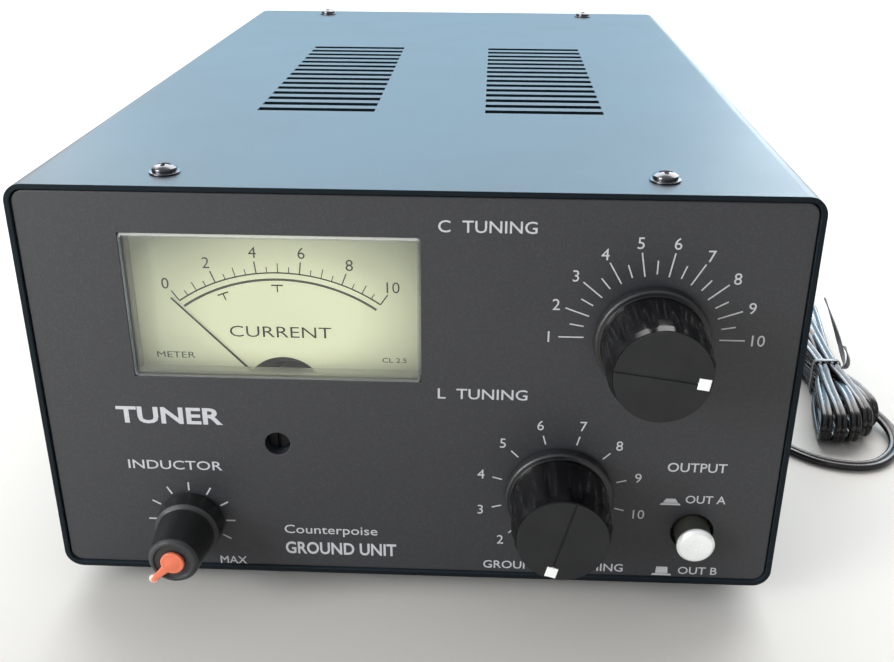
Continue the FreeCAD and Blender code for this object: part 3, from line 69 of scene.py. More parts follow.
# ---------------------------------------------------------------- materials
class Look:
    """A Principled material whose detail reads the piece's own coordinates."""

    def __init__(self, name, colour, roughness, metallic=0.0, **sockets):
        self.material = bpy.data.materials.new(name)
        self.material.use_nodes = True
        self.tree = self.material.node_tree
        self.shader = self.tree.nodes["Principled BSDF"]
        self.place = self.node("TexCoord").outputs["Object"]
        self.colour = (*colour, 1.0)
        self.normal = None
        self.shader.inputs["Base Color"].default_value = self.colour
        self.shader.inputs["Roughness"].default_value = roughness
        self.shader.inputs["Metallic"].default_value = metallic
        for socket, value in sockets.items():
            self.shader.inputs[socket.replace("_", " ")].default_value = value

    def node(self, kind):
        return self.tree.nodes.new("ShaderNode" + kind)

    def link(self, source, target):
        self.tree.links.new(source, target)

    def noise(self, size, detail=2.0, stretch=(1, 1, 1)):
        """Grain about size millimetres across, longer along the axes that stretch names."""
        mapping = self.node("Mapping")
        mapping.inputs["Scale"].default_value = [1 / (size * MM * s) for s in stretch]
        self.link(self.place, mapping.inputs["Vector"])
        grain = self.node("TexNoise")
        grain.inputs["Scale"].default_value = 1.0
        grain.inputs["Detail"].default_value = detail
        self.link(mapping.outputs["Vector"], grain.inputs["Vector"])
        return grain.outputs["Fac"]

    def glow(self, middle, reach):
        """1 at a point, in the millimetres of at(), and 0 at an ellipsoid of those half sizes round it."""
        mapping = self.node("Mapping")
        scale = [1 / (r * MM) for r in reach]
        mapping.inputs["Scale"].default_value = scale
        mapping.inputs["Location"].default_value = [-m * s for m, s in zip(at(*middle), scale)]
        self.link(self.place, mapping.inputs["Vector"])
        ball = self.node("TexGradient")
        ball.gradient_type = "SPHERICAL"
        self.link(mapping.outputs["Vector"], ball.inputs["Vector"])
        return ball.outputs["Fac"]

    def bands(self, pitch, direction):
        """Even ridges along one axis, such as a thread."""
        wave = self.node("TexWave")
        wave.bands_direction = direction
        wave.inputs["Scale"].default_value = math.pi / 10 / (pitch * MM)
        self.link(self.place, wave.inputs["Vector"])
        return wave.outputs["Fac"]

    def spread(self, source, low, high, to_low=0.0, to_high=1.0):
        """Maps low..high of a value to to_low..to_high, and no further."""
        mapped = self.node("MapRange")
        values = {"From Min": low, "From Max": high, "To Min": to_low, "To Max": to_high}
        for socket, value in values.items():
            mapped.inputs[socket].default_value = value
        self.link(source, mapped.inputs["Value"])
        return mapped.outputs["Result"]

    def tint(self, amount, colour):
        """Mixes another colour in where amount is high."""
        mix = self.node("Mix")
        mix.data_type = "RGBA"
        factor, first, second = mix.inputs[0], mix.inputs[6], mix.inputs[7]
        self.link(amount, factor)
        if isinstance(self.colour, tuple):
            first.default_value = self.colour
        else:
            self.link(self.colour, first)
        second.default_value = (*colour, 1.0)
        self.colour = mix.outputs[2]
        self.link(self.colour, self.shader.inputs["Base Color"])
        return self

    def rough(self, source, low, high, to_low, to_high):
        self.link(self.spread(source, low, high, to_low, to_high), self.shader.inputs["Roughness"])
        return self

    def soften(self, radius):
        """Rounds the shading of the edges over that many millimetres."""
        bevel = self.node("Bevel")
        bevel.samples = 4
        bevel.inputs["Radius"].default_value = radius * MM
        self.normal = bevel.outputs["Normal"]
        self.link(self.normal, self.shader.inputs["Normal"])
        return self

    def wear(self, colour):
        """A painted highlight: a lighter colour along the edges that soften rounds."""
        plain = self.node("NewGeometry").outputs["Normal"]
        dot = self.node("VectorMath")
        dot.operation = "DOT_PRODUCT"
        self.link(self.normal, dot.inputs[0])
        self.link(plain, dot.inputs[1])
        return self.tint(self.spread(dot.outputs["Value"], 0.98, 0.75), colour)

    def facing(self, direction):
        """How far the surface faces a direction, from -1 to 1."""
        dot = self.node("VectorMath")
        dot.operation = "DOT_PRODUCT"
        self.link(self.node("NewGeometry").outputs["Normal"], dot.inputs[0])
        dot.inputs[1].default_value = direction
        return dot.outputs["Value"]

    def bump(self, source, height):
        bump = self.node("Bump")
        bump.inputs["Distance"].default_value = height * MM
        self.link(source, bump.inputs["Height"])
        if self.normal:
            self.link(self.normal, bump.inputs["Normal"])
        self.normal = bump.outputs["Normal"]
        self.link(self.normal, self.shader.inputs["Normal"])
        return self


def case_paint():
    """Satin paint on the folded sheets; on every face that looks to the front, such as their thin cut edges,
    painted shade makes it near black and duller.
    """
    look = Look("case_paint", (0.02, 0.028, 0.034), 0.42, Specular_Tint=(0.45, 0.8, 1.0, 1)).soften(0.3)
    grain = look.noise(0.5, 3)
    look.tint(look.spread(grain, 0.45, 0.75, 0, 0.5), (0.038, 0.05, 0.06))
    # painted shade: faces that look to the front are tinted near black and given a duller reflection
    painted_front_shade = look.facing((0, -1, 0))
    look.tint(look.spread(painted_front_shade, 0.8, 0.95, 0, 1), (0.006, 0.006, 0.007))
    look.link(look.spread(painted_front_shade, 0.8, 0.95, 0.5, 0.2), look.shader.inputs["Specular IOR Level"])
    look.rough(look.noise(45, 3), 0.35, 0.65, 0.41, 0.44)
    return look.bump(grain, 0.035)


def panel_paint():
    """Textured dark grey paint, with a painted highlight, a little lighter, along its edges."""
    look = Look("panel_paint", (0.024, 0.0248, 0.028), 0.45).soften(0.3)
    # painted highlight along the panel's rounded edges
    look.wear((0.07, 0.07, 0.075))
    grain = look.noise(0.45, 3)
    look.tint(look.spread(grain, 0.5, 0.8, 0, 0.5), (0.052, 0.053, 0.058))
    look.rough(look.noise(30, 3), 0.35, 0.65, 0.4, 0.5)
    return look.bump(grain, 0.045)


def metal(name, colour, roughness, grain=0.3, stretch=(1, 1, 1)):
    """Bare or plated metal with fine machining marks and a slight tarnish."""
    look = Look(name, colour, roughness, metallic=1.0).soften(0.15)
    dull = tuple(0.72 * c for c in colour)
    look.tint(look.spread(look.noise(4, 4), 0.42, 0.72, 0, 0.6), dull)
    marks = look.noise(grain, 3, stretch)
    look.rough(marks, 0.3, 0.7, roughness * 0.75, roughness * 1.35)
    return look.bump(marks, 0.01)


def plastic(name, colour, roughness, grain=0.35, depth=0.012, fade=1.6, soft=0.2, **sockets):
    """A moulding with a fine skin and slightly uneven gloss."""
    look = Look(name, colour, roughness, **sockets)
    if soft:
        look.soften(soft)
    pale = tuple(min(1.0, fade * c + 0.002) for c in colour)
    look.tint(look.spread(look.noise(9, 4), 0.4, 0.75, 0, 0.5), pale)
    pores = look.noise(grain, 3)
    look.rough(look.noise(6, 3), 0.35, 0.65, roughness * 0.85, roughness * 1.2)
    return look.bump(pores, depth)


def dial_paper():
    """Pale paper with a painted glow, as if lit from inside: it emits most near the middle, and painted
    shade darkens it towards the edges.
    """
    look = Look("dial_paper", (0.93, 0.95, 0.7), 0.55, Emission_Color=(1.0, 1.0, 0.7, 1))
    painted_glow_and_shade = look.glow((-31.0, DIAL, 78.5), (45.0, 30.0, 26.0))
    # painted glow: the paper itself emits light, strongest near the middle
    look.link(look.spread(painted_glow_and_shade, 0.0, 0.6, 0.1, 0.38), look.shader.inputs["Emission Strength"])
    # painted shade: darker towards the dial's edges
    look.tint(look.spread(painted_glow_and_shade, 0.6, 0.0, 0, 1), (0.2, 0.225, 0.18))
    look.tint(look.spread(look.noise(26, 2), 0.42, 0.7, 0, 0.25), (0.62, 0.64, 0.47))
    look.tint(look.spread(look.noise(0.6, 3), 0.5, 0.8, 0, 0.15), (0.55, 0.56, 0.42))
    return look.bump(look.noise(0.4, 2), 0.006)


def ink(name, colour):
    look = Look(name, colour, 0.6)
    look.tint(look.spread(look.noise(0.35, 2), 0.5, 0.8, 0, 0.4), tuple(0.6 * c for c in colour))
    return look.bump(look.noise(0.2, 2), 0.004)


def copper_wire():
    look = metal("copper", (0.80, 0.42, 0.24), 0.24, 0.5)
    look.tint(look.spread(look.noise(12, 4), 0.5, 0.75, 0, 0.6), (0.45, 0.2, 0.1))
    return look


def laminate():
    """Green board whose copper tracks show as lighter streaks in two directions."""
    look = Look("board_green", (0.02, 0.13, 0.05), 0.3).soften(0.15)
    look.tint(look.spread(look.noise(1.6, 2, (1, 4, 4)), 0.56, 0.6, 0, 0.5), (0.05, 0.22, 0.1))
    look.tint(look.spread(look.noise(1.6, 2, (4, 1, 4)), 0.6, 0.64, 0, 0.5), (0.05, 0.22, 0.1))
    return look.bump(look.noise(0.5, 2), 0.01)


def threaded(name, colour, roughness):
    """Metal with a fine thread round the front-to-back axis."""
    look = metal(name, colour, roughness)
    return look.bump(look.bands(0.7, "Y"), 0.18)


def cord_pvc():
    """Soft black insulation with an uneven gloss."""
    look = Look("cord_pvc", (0.01, 0.01, 0.011), 0.2, Specular_Tint=(0.97, 0.95, 0.95, 1))
    look.tint(look.spread(look.noise(7, 4), 0.45, 0.75, 0, 0.5), (0.02, 0.02, 0.022))
    look.rough(look.noise(3, 3), 0.35, 0.7, 0.16, 0.3)
    return look.bump(look.noise(1.1, 2), 0.03)


def clear_pane():
    """Clear acrylic: it lets the dial through and mirrors more towards grazing angles."""
    look = Look("clear_pane", (0.9, 0.93, 0.9), 0.04)
    clear = look.node("BsdfTransparent")
    clear.inputs["Color"].default_value = (0.97, 0.985, 0.97, 1)
    shine = look.node("BsdfGlossy")
    shine.inputs["Roughness"].default_value = 0.03
    fresnel = look.node("Fresnel")
    fresnel.inputs["IOR"].default_value = 1.49
    mix = look.node("MixShader")
    look.link(fresnel.outputs["Fac"], mix.inputs["Fac"])
    look.link(clear.outputs["BSDF"], mix.inputs[1])
    look.link(shine.outputs["BSDF"], mix.inputs[2])
    ripple = look.node("Bump")
    ripple.inputs["Distance"].default_value = 0.01 * MM
    look.link(look.noise(9, 2), ripple.inputs["Height"])
    look.link(ripple.outputs["Normal"], shine.inputs["Normal"])
    output = next(n for n in look.tree.nodes if n.type == "OUTPUT_MATERIAL")
    look.link(mix.outputs["Shader"], output.inputs["Surface"])
    look.tree.nodes.remove(look.shader)
    return look


def clear_rim():
    """The moulded edge of the window, a little milky, with a painted highlight, near white, on the faces
    that look up.
    """
    look = Look("clear_rim", (0.2, 0.23, 0.25), 0.1, Alpha=0.34, Specular_IOR_Level=0.6)
    look.tint(look.spread(look.noise(8, 2), 0.4, 0.7, 0, 0.5), (0.34, 0.37, 0.38))
    # painted highlight: faces that look up are tinted near white
    look.tint(look.spread(look.facing((0.25, -0.3, 0.92)), 0.5, 0.8, 0, 1), (1.0, 1.0, 0.98))
    return look.bump(look.noise(2, 2), 0.01)


LOOKS = {
    "case_sheet": case_paint(),
    "panel_face": panel_paint(),
    "plated_screw": metal("plated_screw", (0.13, 0.13, 0.14), 0.2, 0.25),
    "foot_rubber": plastic("foot_rubber", (0.014, 0.014, 0.015), 0.75, 0.5, 0.05),
    "clear_window": clear_rim(),
    "meter_black": plastic("meter_black", (0.004, 0.004, 0.0045), 0.5, Specular_IOR_Level=0.2),
    "dial_paper": dial_paper(),
    "needle_black": plastic("needle_black", (0.006, 0.006, 0.006), 0.5, 0.2, 0.004),
    "copper": copper_wire(),
    "magnet_iron": metal("magnet_iron", (0.25, 0.25, 0.26), 0.38, 0.4, (6, 1, 1)),
    "spring_bronze": metal("spring_bronze", (0.72, 0.55, 0.28), 0.25),
    "brass_plain": metal("brass_plain", (0.78, 0.6, 0.3), 0.26, 0.2, (1, 6, 1)),
    "lamp_glass": plastic("lamp_glass", (0.9, 0.85, 0.7), 0.08, Alpha=0.45),
    "knob_gloss": plastic("knob_gloss", (0.003, 0.003, 0.0035), 0.2, 2.5, 0.0005, 1.2, soft=None),
    "knob_cap_grey": plastic("knob_cap_grey", (0.011, 0.0115, 0.0125), 0.5, 0.3, 0.01, soft=0.1,
                             Specular_IOR_Level=0.3),
    "marker_white": plastic("marker_white", (0.86, 0.87, 0.86), 0.4, fade=0.85),
    "nickel_nut": threaded("nickel_nut", (0.58, 0.57, 0.54), 0.28),
    "plate_aluminium": metal("plate_aluminium", (0.78, 0.79, 0.8), 0.34, 0.2, (10, 1, 10)),
    "ceramic": plastic("ceramic", (0.78, 0.76, 0.7), 0.22, 0.8, 0.01, 0.9),
    "switch_steel": metal("switch_steel", (0.55, 0.56, 0.57), 0.33, 0.2, (1, 1, 8)),
    "switch_phenolic": plastic("switch_phenolic", (0.2, 0.09, 0.035), 0.4, 0.5, 0.02),
    "pot_knob_black": plastic("pot_knob_black", (0.0085, 0.0085, 0.009), 0.42, 0.4, 0.02),
    "pointer_orange": plastic("pointer_orange", (0.66, 0.155, 0.075), 0.38, 0.5, 0.01, 1.15),
    "button_silver": plastic("button_silver", (0.95, 0.97, 0.96), 0.24, 0.5, 0.003, 0.97, metallic=0.3),
    "switch_black": plastic("switch_black", (0.045, 0.047, 0.038), 0.4),
    "thumb_red": plastic("thumb_red", (0.42, 0.012, 0.014), 0.3, 0.5, 0.01, 1.2),
    "lead_pvc": cord_pvc(),
    "tie_wire": plastic("tie_wire", (0.22, 0.23, 0.24), 0.4, 0.4, 0.02),
    "plug_black": plastic("plug_black", (0.012, 0.012, 0.013), 0.38, 0.5, 0.02),
    "board_green": laminate(),
    "board_part": plastic("board_part", (0.03, 0.032, 0.045), 0.35, 0.6, 0.02),
}
PANE = clear_pane()
WHITE_INK = ink("white_ink", (0.48, 0.48, 0.5))
BLACK_INK = ink("black_ink", (0.012, 0.012, 0.012))
GREY_INK = ink("grey_ink", (0.12, 0.12, 0.11))
SKIRT_BAND = plastic("skirt_band", (0.016, 0.0165, 0.018), 0.38)
NOSE_GREY = plastic("nose_grey", (0.019, 0.021, 0.022), 0.5)
TIP_PALE = plastic("tip_pale", (0.84, 0.5, 0.42), 0.4, fade=1.1)


def dress_nodes():
    """Gives every CAD node the look of its material slot."""
    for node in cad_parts.values():
        slot = node.data.materials[0].name
        node.data.materials[0] = LOOKS[slot].material


# ---------------------------------------------------------------- mesh building
def piece(name, work, looks, body, replaces=(), sharp=38):
    """A bmesh becomes a named piece that rides on a CAD body and may stand for CAD nodes."""
    bmesh.ops.remove_doubles(work, verts=work.verts, dist=1e-7)
    bmesh.ops.recalc_face_normals(work, faces=work.faces)
    mesh = bpy.data.meshes.new(name)
    work.to_mesh(mesh)
    work.free()
    mesh.shade_smooth()
    mesh.set_sharp_from_angle(angle=math.radians(sharp))
    for look in looks:
        mesh.materials.append(look.material)
    made = bpy.data.objects.new(name, mesh)
    bpy.context.scene.collection.objects.link(made)
    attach(made, body)
    if replaces:
        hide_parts(*replaces)
    return made


def skin(work, loops, materials=None, close=(True, True)):
    """Quads between loops of points, with flat ends. materials gives one index for each pair of loops."""
    rows = [[work.verts.new(point) for point in loop] for loop in loops]
    count = len(rows[0])
    for i in range(len(rows) - 1):
        for j in range(count):
            k = (j + 1) % count
            face = work.faces.new((rows[i][j], rows[i][k], rows[i + 1][k], rows[i + 1][j]))
            face.material_index = materials[i] if materials else 0
    for end, row, index in ((close[0], rows[0], 0), (close[1], rows[-1], -1)):
        if end:
            cap = work.faces.new(row)
            cap.material_index = materials[index] if materials else 0


def rounded(corners, steps=4):
    """An open outline from (a, b, radius) corners, each inner corner with a radius turned into an arc."""
    points = []
    for i, (a, b, radius) in enumerate(corners):
        here = Vector((a, b))
        if radius == 0 or i in (0, len(corners) - 1):
            points.append((a, b))
            continue
        before = (Vector(corners[i - 1][:2]) - here).normalized()
        after = (Vector(corners[i + 1][:2]) - here).normalized()
        half = before.angle(after) / 2
        middle = here + (before + after).normalized() * (radius / math.sin(half))
        first = here + before * (radius / math.tan(half)) - middle
        last = here + after * (radius / math.tan(half)) - middle
        turn = first.angle_signed(last)
        for step in range(steps + 1):
            angle = -turn * step / steps
            c, s = math.cos(angle), math.sin(angle)
            points.append((middle.x + c * first.x - s * first.y, middle.y + s * first.x + c * first.y))
    return points


def turned(work, profile, origin, axis, segments=96, shape=None, materials=None):
    """A solid of revolution from (radius, height) points in millimetres; shape varies the radius."""
    side = Vector((1, 0, 0))
    other = Vector((0, 0, 1)) if abs(axis.z) < 0.5 else Vector((0, 1, 0))
    loops = []
    for radius, height in profile:
        loop = []
        for j in range(segments):
            angle = 2 * math.pi * j / segments
            r = shape(angle, radius, height) if shape else radius
            offset = side * (r * math.cos(angle)) + other * (r * math.sin(angle)) + axis * height
            loop.append(origin + offset * MM)
        loops.append(loop)
    skin(work, loops, materials)


def plate_loop(x, z, half_width, half_height, corner, depth):
    """A rounded rectangle that faces the front."""
    steps = 5
    loop = []
    for quarter, (sx, sz) in enumerate(((1, 1), (-1, 1), (-1, -1), (1, -1))):
        for step in range(steps + 1):
            angle = math.radians(90 * (quarter + step / steps))
            px = x + sx * (half_width - corner) + corner * math.cos(angle)
            pz = z + sz * (half_height - corner) + corner * math.sin(angle)
            loop.append(at(px, depth, pz))
    return loop


def smooth_line(name, controls, resolution):
    """Points read from the quadratic NURBS spline that the control points steer."""
    curve = bpy.data.curves.new(name, "CURVE")
    curve.dimensions = "3D"
    curve.resolution_u = resolution
    spline = curve.splines.new("NURBS")
    spline.points.add(len(controls) - 1)
    for point, place in zip(spline.points, controls):
        point.co = (*place, 1.0)
    spline.order_u = 3
    spline.use_endpoint_u = True
    carrier = bpy.data.objects.new(name, curve)
    mesh = bpy.data.meshes.new_from_object(carrier)
    line = [v.co.copy() for v in mesh.vertices]
    bpy.data.meshes.remove(mesh)
    bpy.data.objects.remove(carrier)
    bpy.data.curves.remove(curve)
    return line


def swept(work, line, section, level=0.08, twist=0.0):
    """Carries a section, (across, up) in metres, along a line, with its wide side level where it can be."""
    across = None
    loops = []
    for i, place in enumerate(line):
        ahead = (line[min(i + 1, len(line) - 1)] - line[max(i - 1, 0)]).normalized()
        flat = Vector((ahead.y, -ahead.x, 0))
        if across is None:
            across = flat.normalized() if flat.length > 0.01 else Vector((1, 0, 0))
        across = (across - ahead * across.dot(ahead)).normalized()
        if flat.dot(across) < 0:
            flat.negate()
        across = (across + flat * level).normalized()
        across = (across - ahead * across.dot(ahead)).normalized()
        up = across.cross(ahead)
        angle = twist * i
        c, s = math.cos(angle), math.sin(angle)
        loops.append([place + across * (c * a - s * b) + up * (s * a + c * b) for a, b in section])
    skin(work, loops)


class Print:
    """Thin ink on a plane that faces the front; outlines are (x, z) in millimetres."""

    THICK = 0.03  # how far the ink stands out of the surface
    SUNK = 0.01  # and how far it reaches into it
    CAPITAL = 0.682  # the built-in font's capitals against its size

    def __init__(self, depth):
        self.work = bmesh.new()
        self.depth = depth

    def lift(self, x, z, out):
        return at(x, self.depth - out, z)

    def shape(self, outline):
        skin(self.work, [[self.lift(x, z, out) for x, z in outline] for out in (-self.SUNK, self.THICK)])

    def tick(self, x, z, angle, inner, outer, width):
        """A radial stroke; angle is counter-clockwise from the right, in degrees."""
        c, s = math.cos(math.radians(angle)), math.sin(math.radians(angle))
        half = width / 2
        corners = ((inner, -half), (outer, -half), (outer, half), (inner, half))
        self.shape([(x + c * r - s * t, z + s * r + c * t) for r, t in corners])

    def arc(self, x, z, start, end, inner, outer, material=0):
        """A band between two radii, from one angle to another."""
        steps = 60
        loops = []
        for step in range(steps + 1):
            angle = math.radians(start + (end - start) * step / steps)
            c, s = math.cos(angle), math.sin(angle)
            corners = ((inner, -self.SUNK), (outer, -self.SUNK), (outer, self.THICK), (inner, self.THICK))
            loops.append([self.lift(x + c * r, z + s * r, out) for r, out in corners])
        skin(self.work, loops, [material] * steps)

    def text(self, words, x, z, height, width=None, weight=0.0):
        """Letters centred on (x, z) whose capitals are height tall, stretched to width if it is given."""
        letters = bpy.data.curves.new("letters", "FONT")
        letters.body = words
        letters.size = height / self.CAPITAL
        letters.offset = weight
        letters.resolution_u = 3
        letters.extrude = (self.THICK + self.SUNK) / 2
        carrier = bpy.data.objects.new("letters", letters)
        mesh = bpy.data.meshes.new_from_object(carrier)
        low = min(v.co.x for v in mesh.vertices)
        high = max(v.co.x for v in mesh.vertices)
        stretch = width / (high - low) if width else 1.0
        shift = x - (low + high) / 2 * stretch
        out = (self.THICK - self.SUNK) / 2
        for v in mesh.vertices:
            v.co = self.lift(shift + v.co.x * stretch, z - height / 2 + v.co.y, out + v.co.z)
        self.work.from_mesh(mesh)
        bpy.data.meshes.remove(mesh)
        bpy.data.objects.remove(carrier)
        bpy.data.curves.remove(letters)

    def finish(self, name, looks):
        piece(name, self.work, looks, "case", sharp=20)


# ---------------------------------------------------------------- cord, hank and plug
CORD_WIDTH = 0.0040
FLOOR_LAY = 0.0013  # height of the flat cord's middle where it lies on the table
LEAD_POINTS = (
    # x, depth behind the front edge, height; the last points run into the hank
    (0.0700, 0.2938, 0.0250), (0.0700, 0.3060, 0.0240), (0.0730, 0.3180, 0.0165), (0.0810, 0.3260, 0.0065),
    (0.0940, 0.3260, FLOOR_LAY), (0.1050, 0.3140, FLOOR_LAY), (0.1090, 0.2880, FLOOR_LAY),
    (0.1060, 0.2440, FLOOR_LAY), (0.1070, 0.1960, FLOOR_LAY), (0.1045, 0.1500, FLOOR_LAY),
    (0.1055, 0.1150, FLOOR_LAY), (0.1100, 0.0930, FLOOR_LAY), (0.1185, 0.0795, FLOOR_LAY),
    (0.1290, 0.0710, FLOOR_LAY), (0.1430, 0.0700, FLOOR_LAY), (0.1530, 0.0800, 0.0014),
    (0.1560, 0.0910, 0.0022), (0.1525, 0.1020, 0.0042),
)
# In the tie the cords lie in two columns, one above another, in cells counted from the table.
TIE_DEPTH = 0.123
TIE_COLUMNS = (0.1389, 0.1431)
TIE_FLOOR, TIE_PITCH = 0.0017, 0.00205
# Each lap: the rear loop's x, depth of tip, bottom and top; the same for the front loop;
# the lap's cell in the tie going forward; and its cell going back.
LAPS = (
    ((0.1512, 0.1830, 0.0013, 0.0112), (0.1493, 0.0945, 0.0013, 0.0112), (1, 4), (1, 1)),
    ((0.1471, 0.1888, 0.0013, 0.0116), (0.1449, 0.0872, 0.0013, 0.0120), (1, 5), (1, 0)),
    ((0.1409, 0.1730, 0.0037, 0.0124), (0.1400, 0.0833, 0.0013, 0.0124), (1, 3), (0, 2)),
    ((0.1350, 0.1868, 0.0013, 0.0118), (0.1352, 0.0830, 0.0013, 0.0118), (0, 5), (0, 1)),
    ((0.1309, 0.1808, 0.0013, 0.0110), (0.1308, 0.0842, 0.0013, 0.0110), (0, 4), (0, 0)),
)
FIRST_CELL = (1, 2)
REAR_SPREAD, FRONT_SPREAD = 1.4, 0.95  # how late the laps fan out on their way from the tie
FOLD_STEPS = (22.5, 67.5, 112.5, 157.5)  # control points round a half turn, in degrees
STATIONS = (0.3, 0.62)  # and on the way to it, as shares of the way


def tie_cell(cell):
    column, row = cell
    return TIE_COLUMNS[column], TIE_FLOOR + TIE_PITCH * row


def loop_points(loop, low_cell, high_cell, ahead, spread):
    """From the tie along the bottom, round the half turn at the loop's tip and back along the top."""
    x, depth, bottom, top = loop
    radius, middle = (top - bottom) / 2, (top + bottom) / 2
    turn_at = depth - ahead * radius
    reach = turn_at - TIE_DEPTH
    out = radius / math.cos(math.radians(FOLD_STEPS[0]))
    rows = []
    for cell, level in ((low_cell, bottom), (high_cell, top)):
        from_x, from_z = tie_cell(cell)
        row = []
        for share in STATIONS:
            settle = min(1.0, share / STATIONS[1])
            row.append((from_x + (x - from_x) * share ** spread, TIE_DEPTH + reach * share,
                        from_z + (level - from_z) * settle))
        rows.append(row)
    tip = []
    for angle in FOLD_STEPS:
        turn = math.radians(angle)
        place = turn_at + ahead * out * math.sin(turn)
        share = (place - TIE_DEPTH) / (depth - TIE_DEPTH)
        tip.append((tie_cell(low_cell)[0] + (x - tie_cell(low_cell)[0]) * share ** spread, place,
                    middle - out * math.cos(turn)))
    return rows[0] + tip + rows[1][::-1]


def straight(cell, first, last):
    """Two control points that carry the cord straight through its place in the tie."""
    x, z = tie_cell(cell)
    return [(x, TIE_DEPTH + first, z), (x, TIE_DEPTH + last, z)]


def hank_points():
    """Every lap goes from the tie round the rear loop, through the tie, round the front loop and back."""
    reach = 0.004
    came = FIRST_CELL
    points = straight(FIRST_CELL, -reach, reach)
    for rear, front, forward, back in LAPS:
        points += loop_points(rear, came, forward, 1, REAR_SPREAD)
        points += straight(forward, reach, -reach)
        points += loop_points(front, back, forward, -1, FRONT_SPREAD)[::-1]
        points += straight(back, -reach, reach)
        came = back
    low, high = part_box("dc_plug")
    x, z = (low.x + high.x) / 2, (low.z + high.z) / 2
    start = low.y - FRONT
    points += [(x - 0.0010, start - 0.044, FLOOR_LAY), (x, start - 0.028, FLOOR_LAY)]
    points += [(x, start - 0.017, FLOOR_LAY + 0.0006), (x, start - 0.007, z - 0.0005),
               (x, start + 0.001, z)]
    return points


def twin_section():
    """Two round cores side by side with a groove between them, in metres."""
    core = CORD_WIDTH / 4
    web = 0.55 * core
    right = [(core + core * math.cos(math.radians(a)), core * math.sin(math.radians(a)))
             for a in range(-120, 121, 30)]
    return right + [(0, web)] + [(-x, -z) for x, z in right] + [(0, -web)]


def make_cord():
    controls = [(x, FRONT + depth, z) for x, depth, z in (*LEAD_POINTS, *hank_points())]
    line = smooth_line("cord_line", controls, 12)
    work = bmesh.new()
    swept(work, line, twin_section())
    flex = piece("power_cord", work, [LOOKS["lead_pvc"]], "case",
                 ("cord_lead", "cord_hank"), 60)
    return flex, line


def make_tie():
    """A flat twist tie round the hank, twisted together at the side, with two loose ends."""
    low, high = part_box("hank_tie")
    middle = (low + high) / 2
    waist = Vector((middle.x, middle.y, 0.0068))
    half_width, half_height, corner = 0.0046, 0.0064, 0.0016
    width, thick = 0.0008, 0.00022
    work = bmesh.new()
    ring = []
    for quarter, (sx, sz) in enumerate(((1, 1), (-1, 1), (-1, -1), (1, -1))):
        for step in range(6):
            angle = math.radians(90 * (quarter + step / 5))
            across = sx * (half_width - corner) + corner * math.cos(angle)
            upward = sz * (half_height - corner) + corner * math.sin(angle)
            ring.append(waist + Vector((across, 0, upward)))
    loops = []
    for depth, grow in ((-width, 0), (width, 0), (width, 2 * thick), (-width, 2 * thick)):
        loops.append([point + (point - waist).normalized() * grow + Vector((0, depth, 0))
                      for point in ring])
    skin(work, loops + loops[:1], close=(False, False))
    band = [(-width, -thick), (width, -thick), (width, thick), (-width, thick)]
    root = Vector((middle.x + half_width + 0.0004, middle.y, 0.0100))
    ends = (
        [root, root + Vector((0.0012, 0.0010, 0.0004)), root + Vector((0.0022, 0.0022, 0.0010)),
         root + Vector((0.0014, 0.0070, 0.0060)), root + Vector((-0.0006, 0.0130, 0.0130)),
         root + Vector((-0.0028, 0.0196, 0.0196))],
        [root, root + Vector((0.0010, -0.0006, 0.0006)), root + Vector((0.0022, -0.0014, 0.0022)),
         root + Vector((0.0028, 0.0016, 0.0048)), root + Vector((0.0022, 0.0052, 0.0066))],
    )
    for controls in ends:
        swept(work, smooth_line("tie_end", controls, 10), band, level=0.0, twist=0.10)
    return piece("twist_tie", work, [LOOKS["tie_wire"]], "case", ("hank_tie",), 50)


def make_plug():
    """A moulded barrel plug that lies behind the hank, with a ribbed strain relief."""
    low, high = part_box("dc_plug")
    origin = Vector(((low.x + high.x) / 2, low.y, (low.z + high.z) / 2))
    work = bmesh.new()
    corners = [(0.0, 0, 0), (2.9, 0, 0.3)]
    for rib in range(4):
        base = 1.0 + 2.0 * rib
        wide = 3.3 + 0.25 * rib
        corners += [(wide, base, 0.2), (wide, base + 1.1, 0.2)]
        corners += [(wide - 0.55, base + 1.3, 0), (wide - 0.4, base + 1.9, 0)]
    corners += [(4.6, 9.3, 0.5), (5.2, 10.4, 0.6), (5.2, 20.0, 0.3), (4.8, 20.6, 0.2), (4.8, 31.8, 0.2),
                (5.0, 32.2, 0.3), (5.0, 33.0, 0.5), (2.9, 33.0, 0)]
    profile = [(max(r, 0.01), height) for r, height in rounded(corners, 3)]

    def grip(angle, radius, height):
        """Fine grooves along the middle of the body."""
        if 20.8 < height < 31.6:
            return radius - 0.18 * max(0.0, math.cos(24 * angle))
        return radius

    turned(work, profile, origin, INWARD, 96, grip)
    moulding = piece("plug_moulding", work, [LOOKS["plug_black"]], "case", ("dc_plug",))
    work = bmesh.new()
    tube = rounded([(0.01, 32.9, 0), (2.75, 32.9, 0), (2.75, 41.9, 0.35), (1.25, 41.9, 0.1), (1.25, 35.0, 0),
                    (0.01, 35.0, 0)], 3)
    turned(work, tube, origin, INWARD, 48)
    barrel = piece("plug_barrel", work, [LOOKS["nickel_nut"]], "case")
    return [moulding, barrel]


def lay_cord():
    """The flat lead from the rear panel to the plug, with its tie."""
    flex, line = make_cord()
    tie = make_tie()
    plug = make_plug()


# ---------------------------------------------------------------- knobs, button and window
FLUTES = 12
FLUTE_DEEP = 0.6
FLUTE_HALF = 0.22  # half a groove's width, as a share of the pitch
FLUTE_LOW, FLUTE_FULL = 3.6, 5.2  # heights between which the grooves deepen
FLUTE_FADE, FLUTE_END = 15.0, 19.7  # and between which they run out again
KNOB_NOSE = 10.96


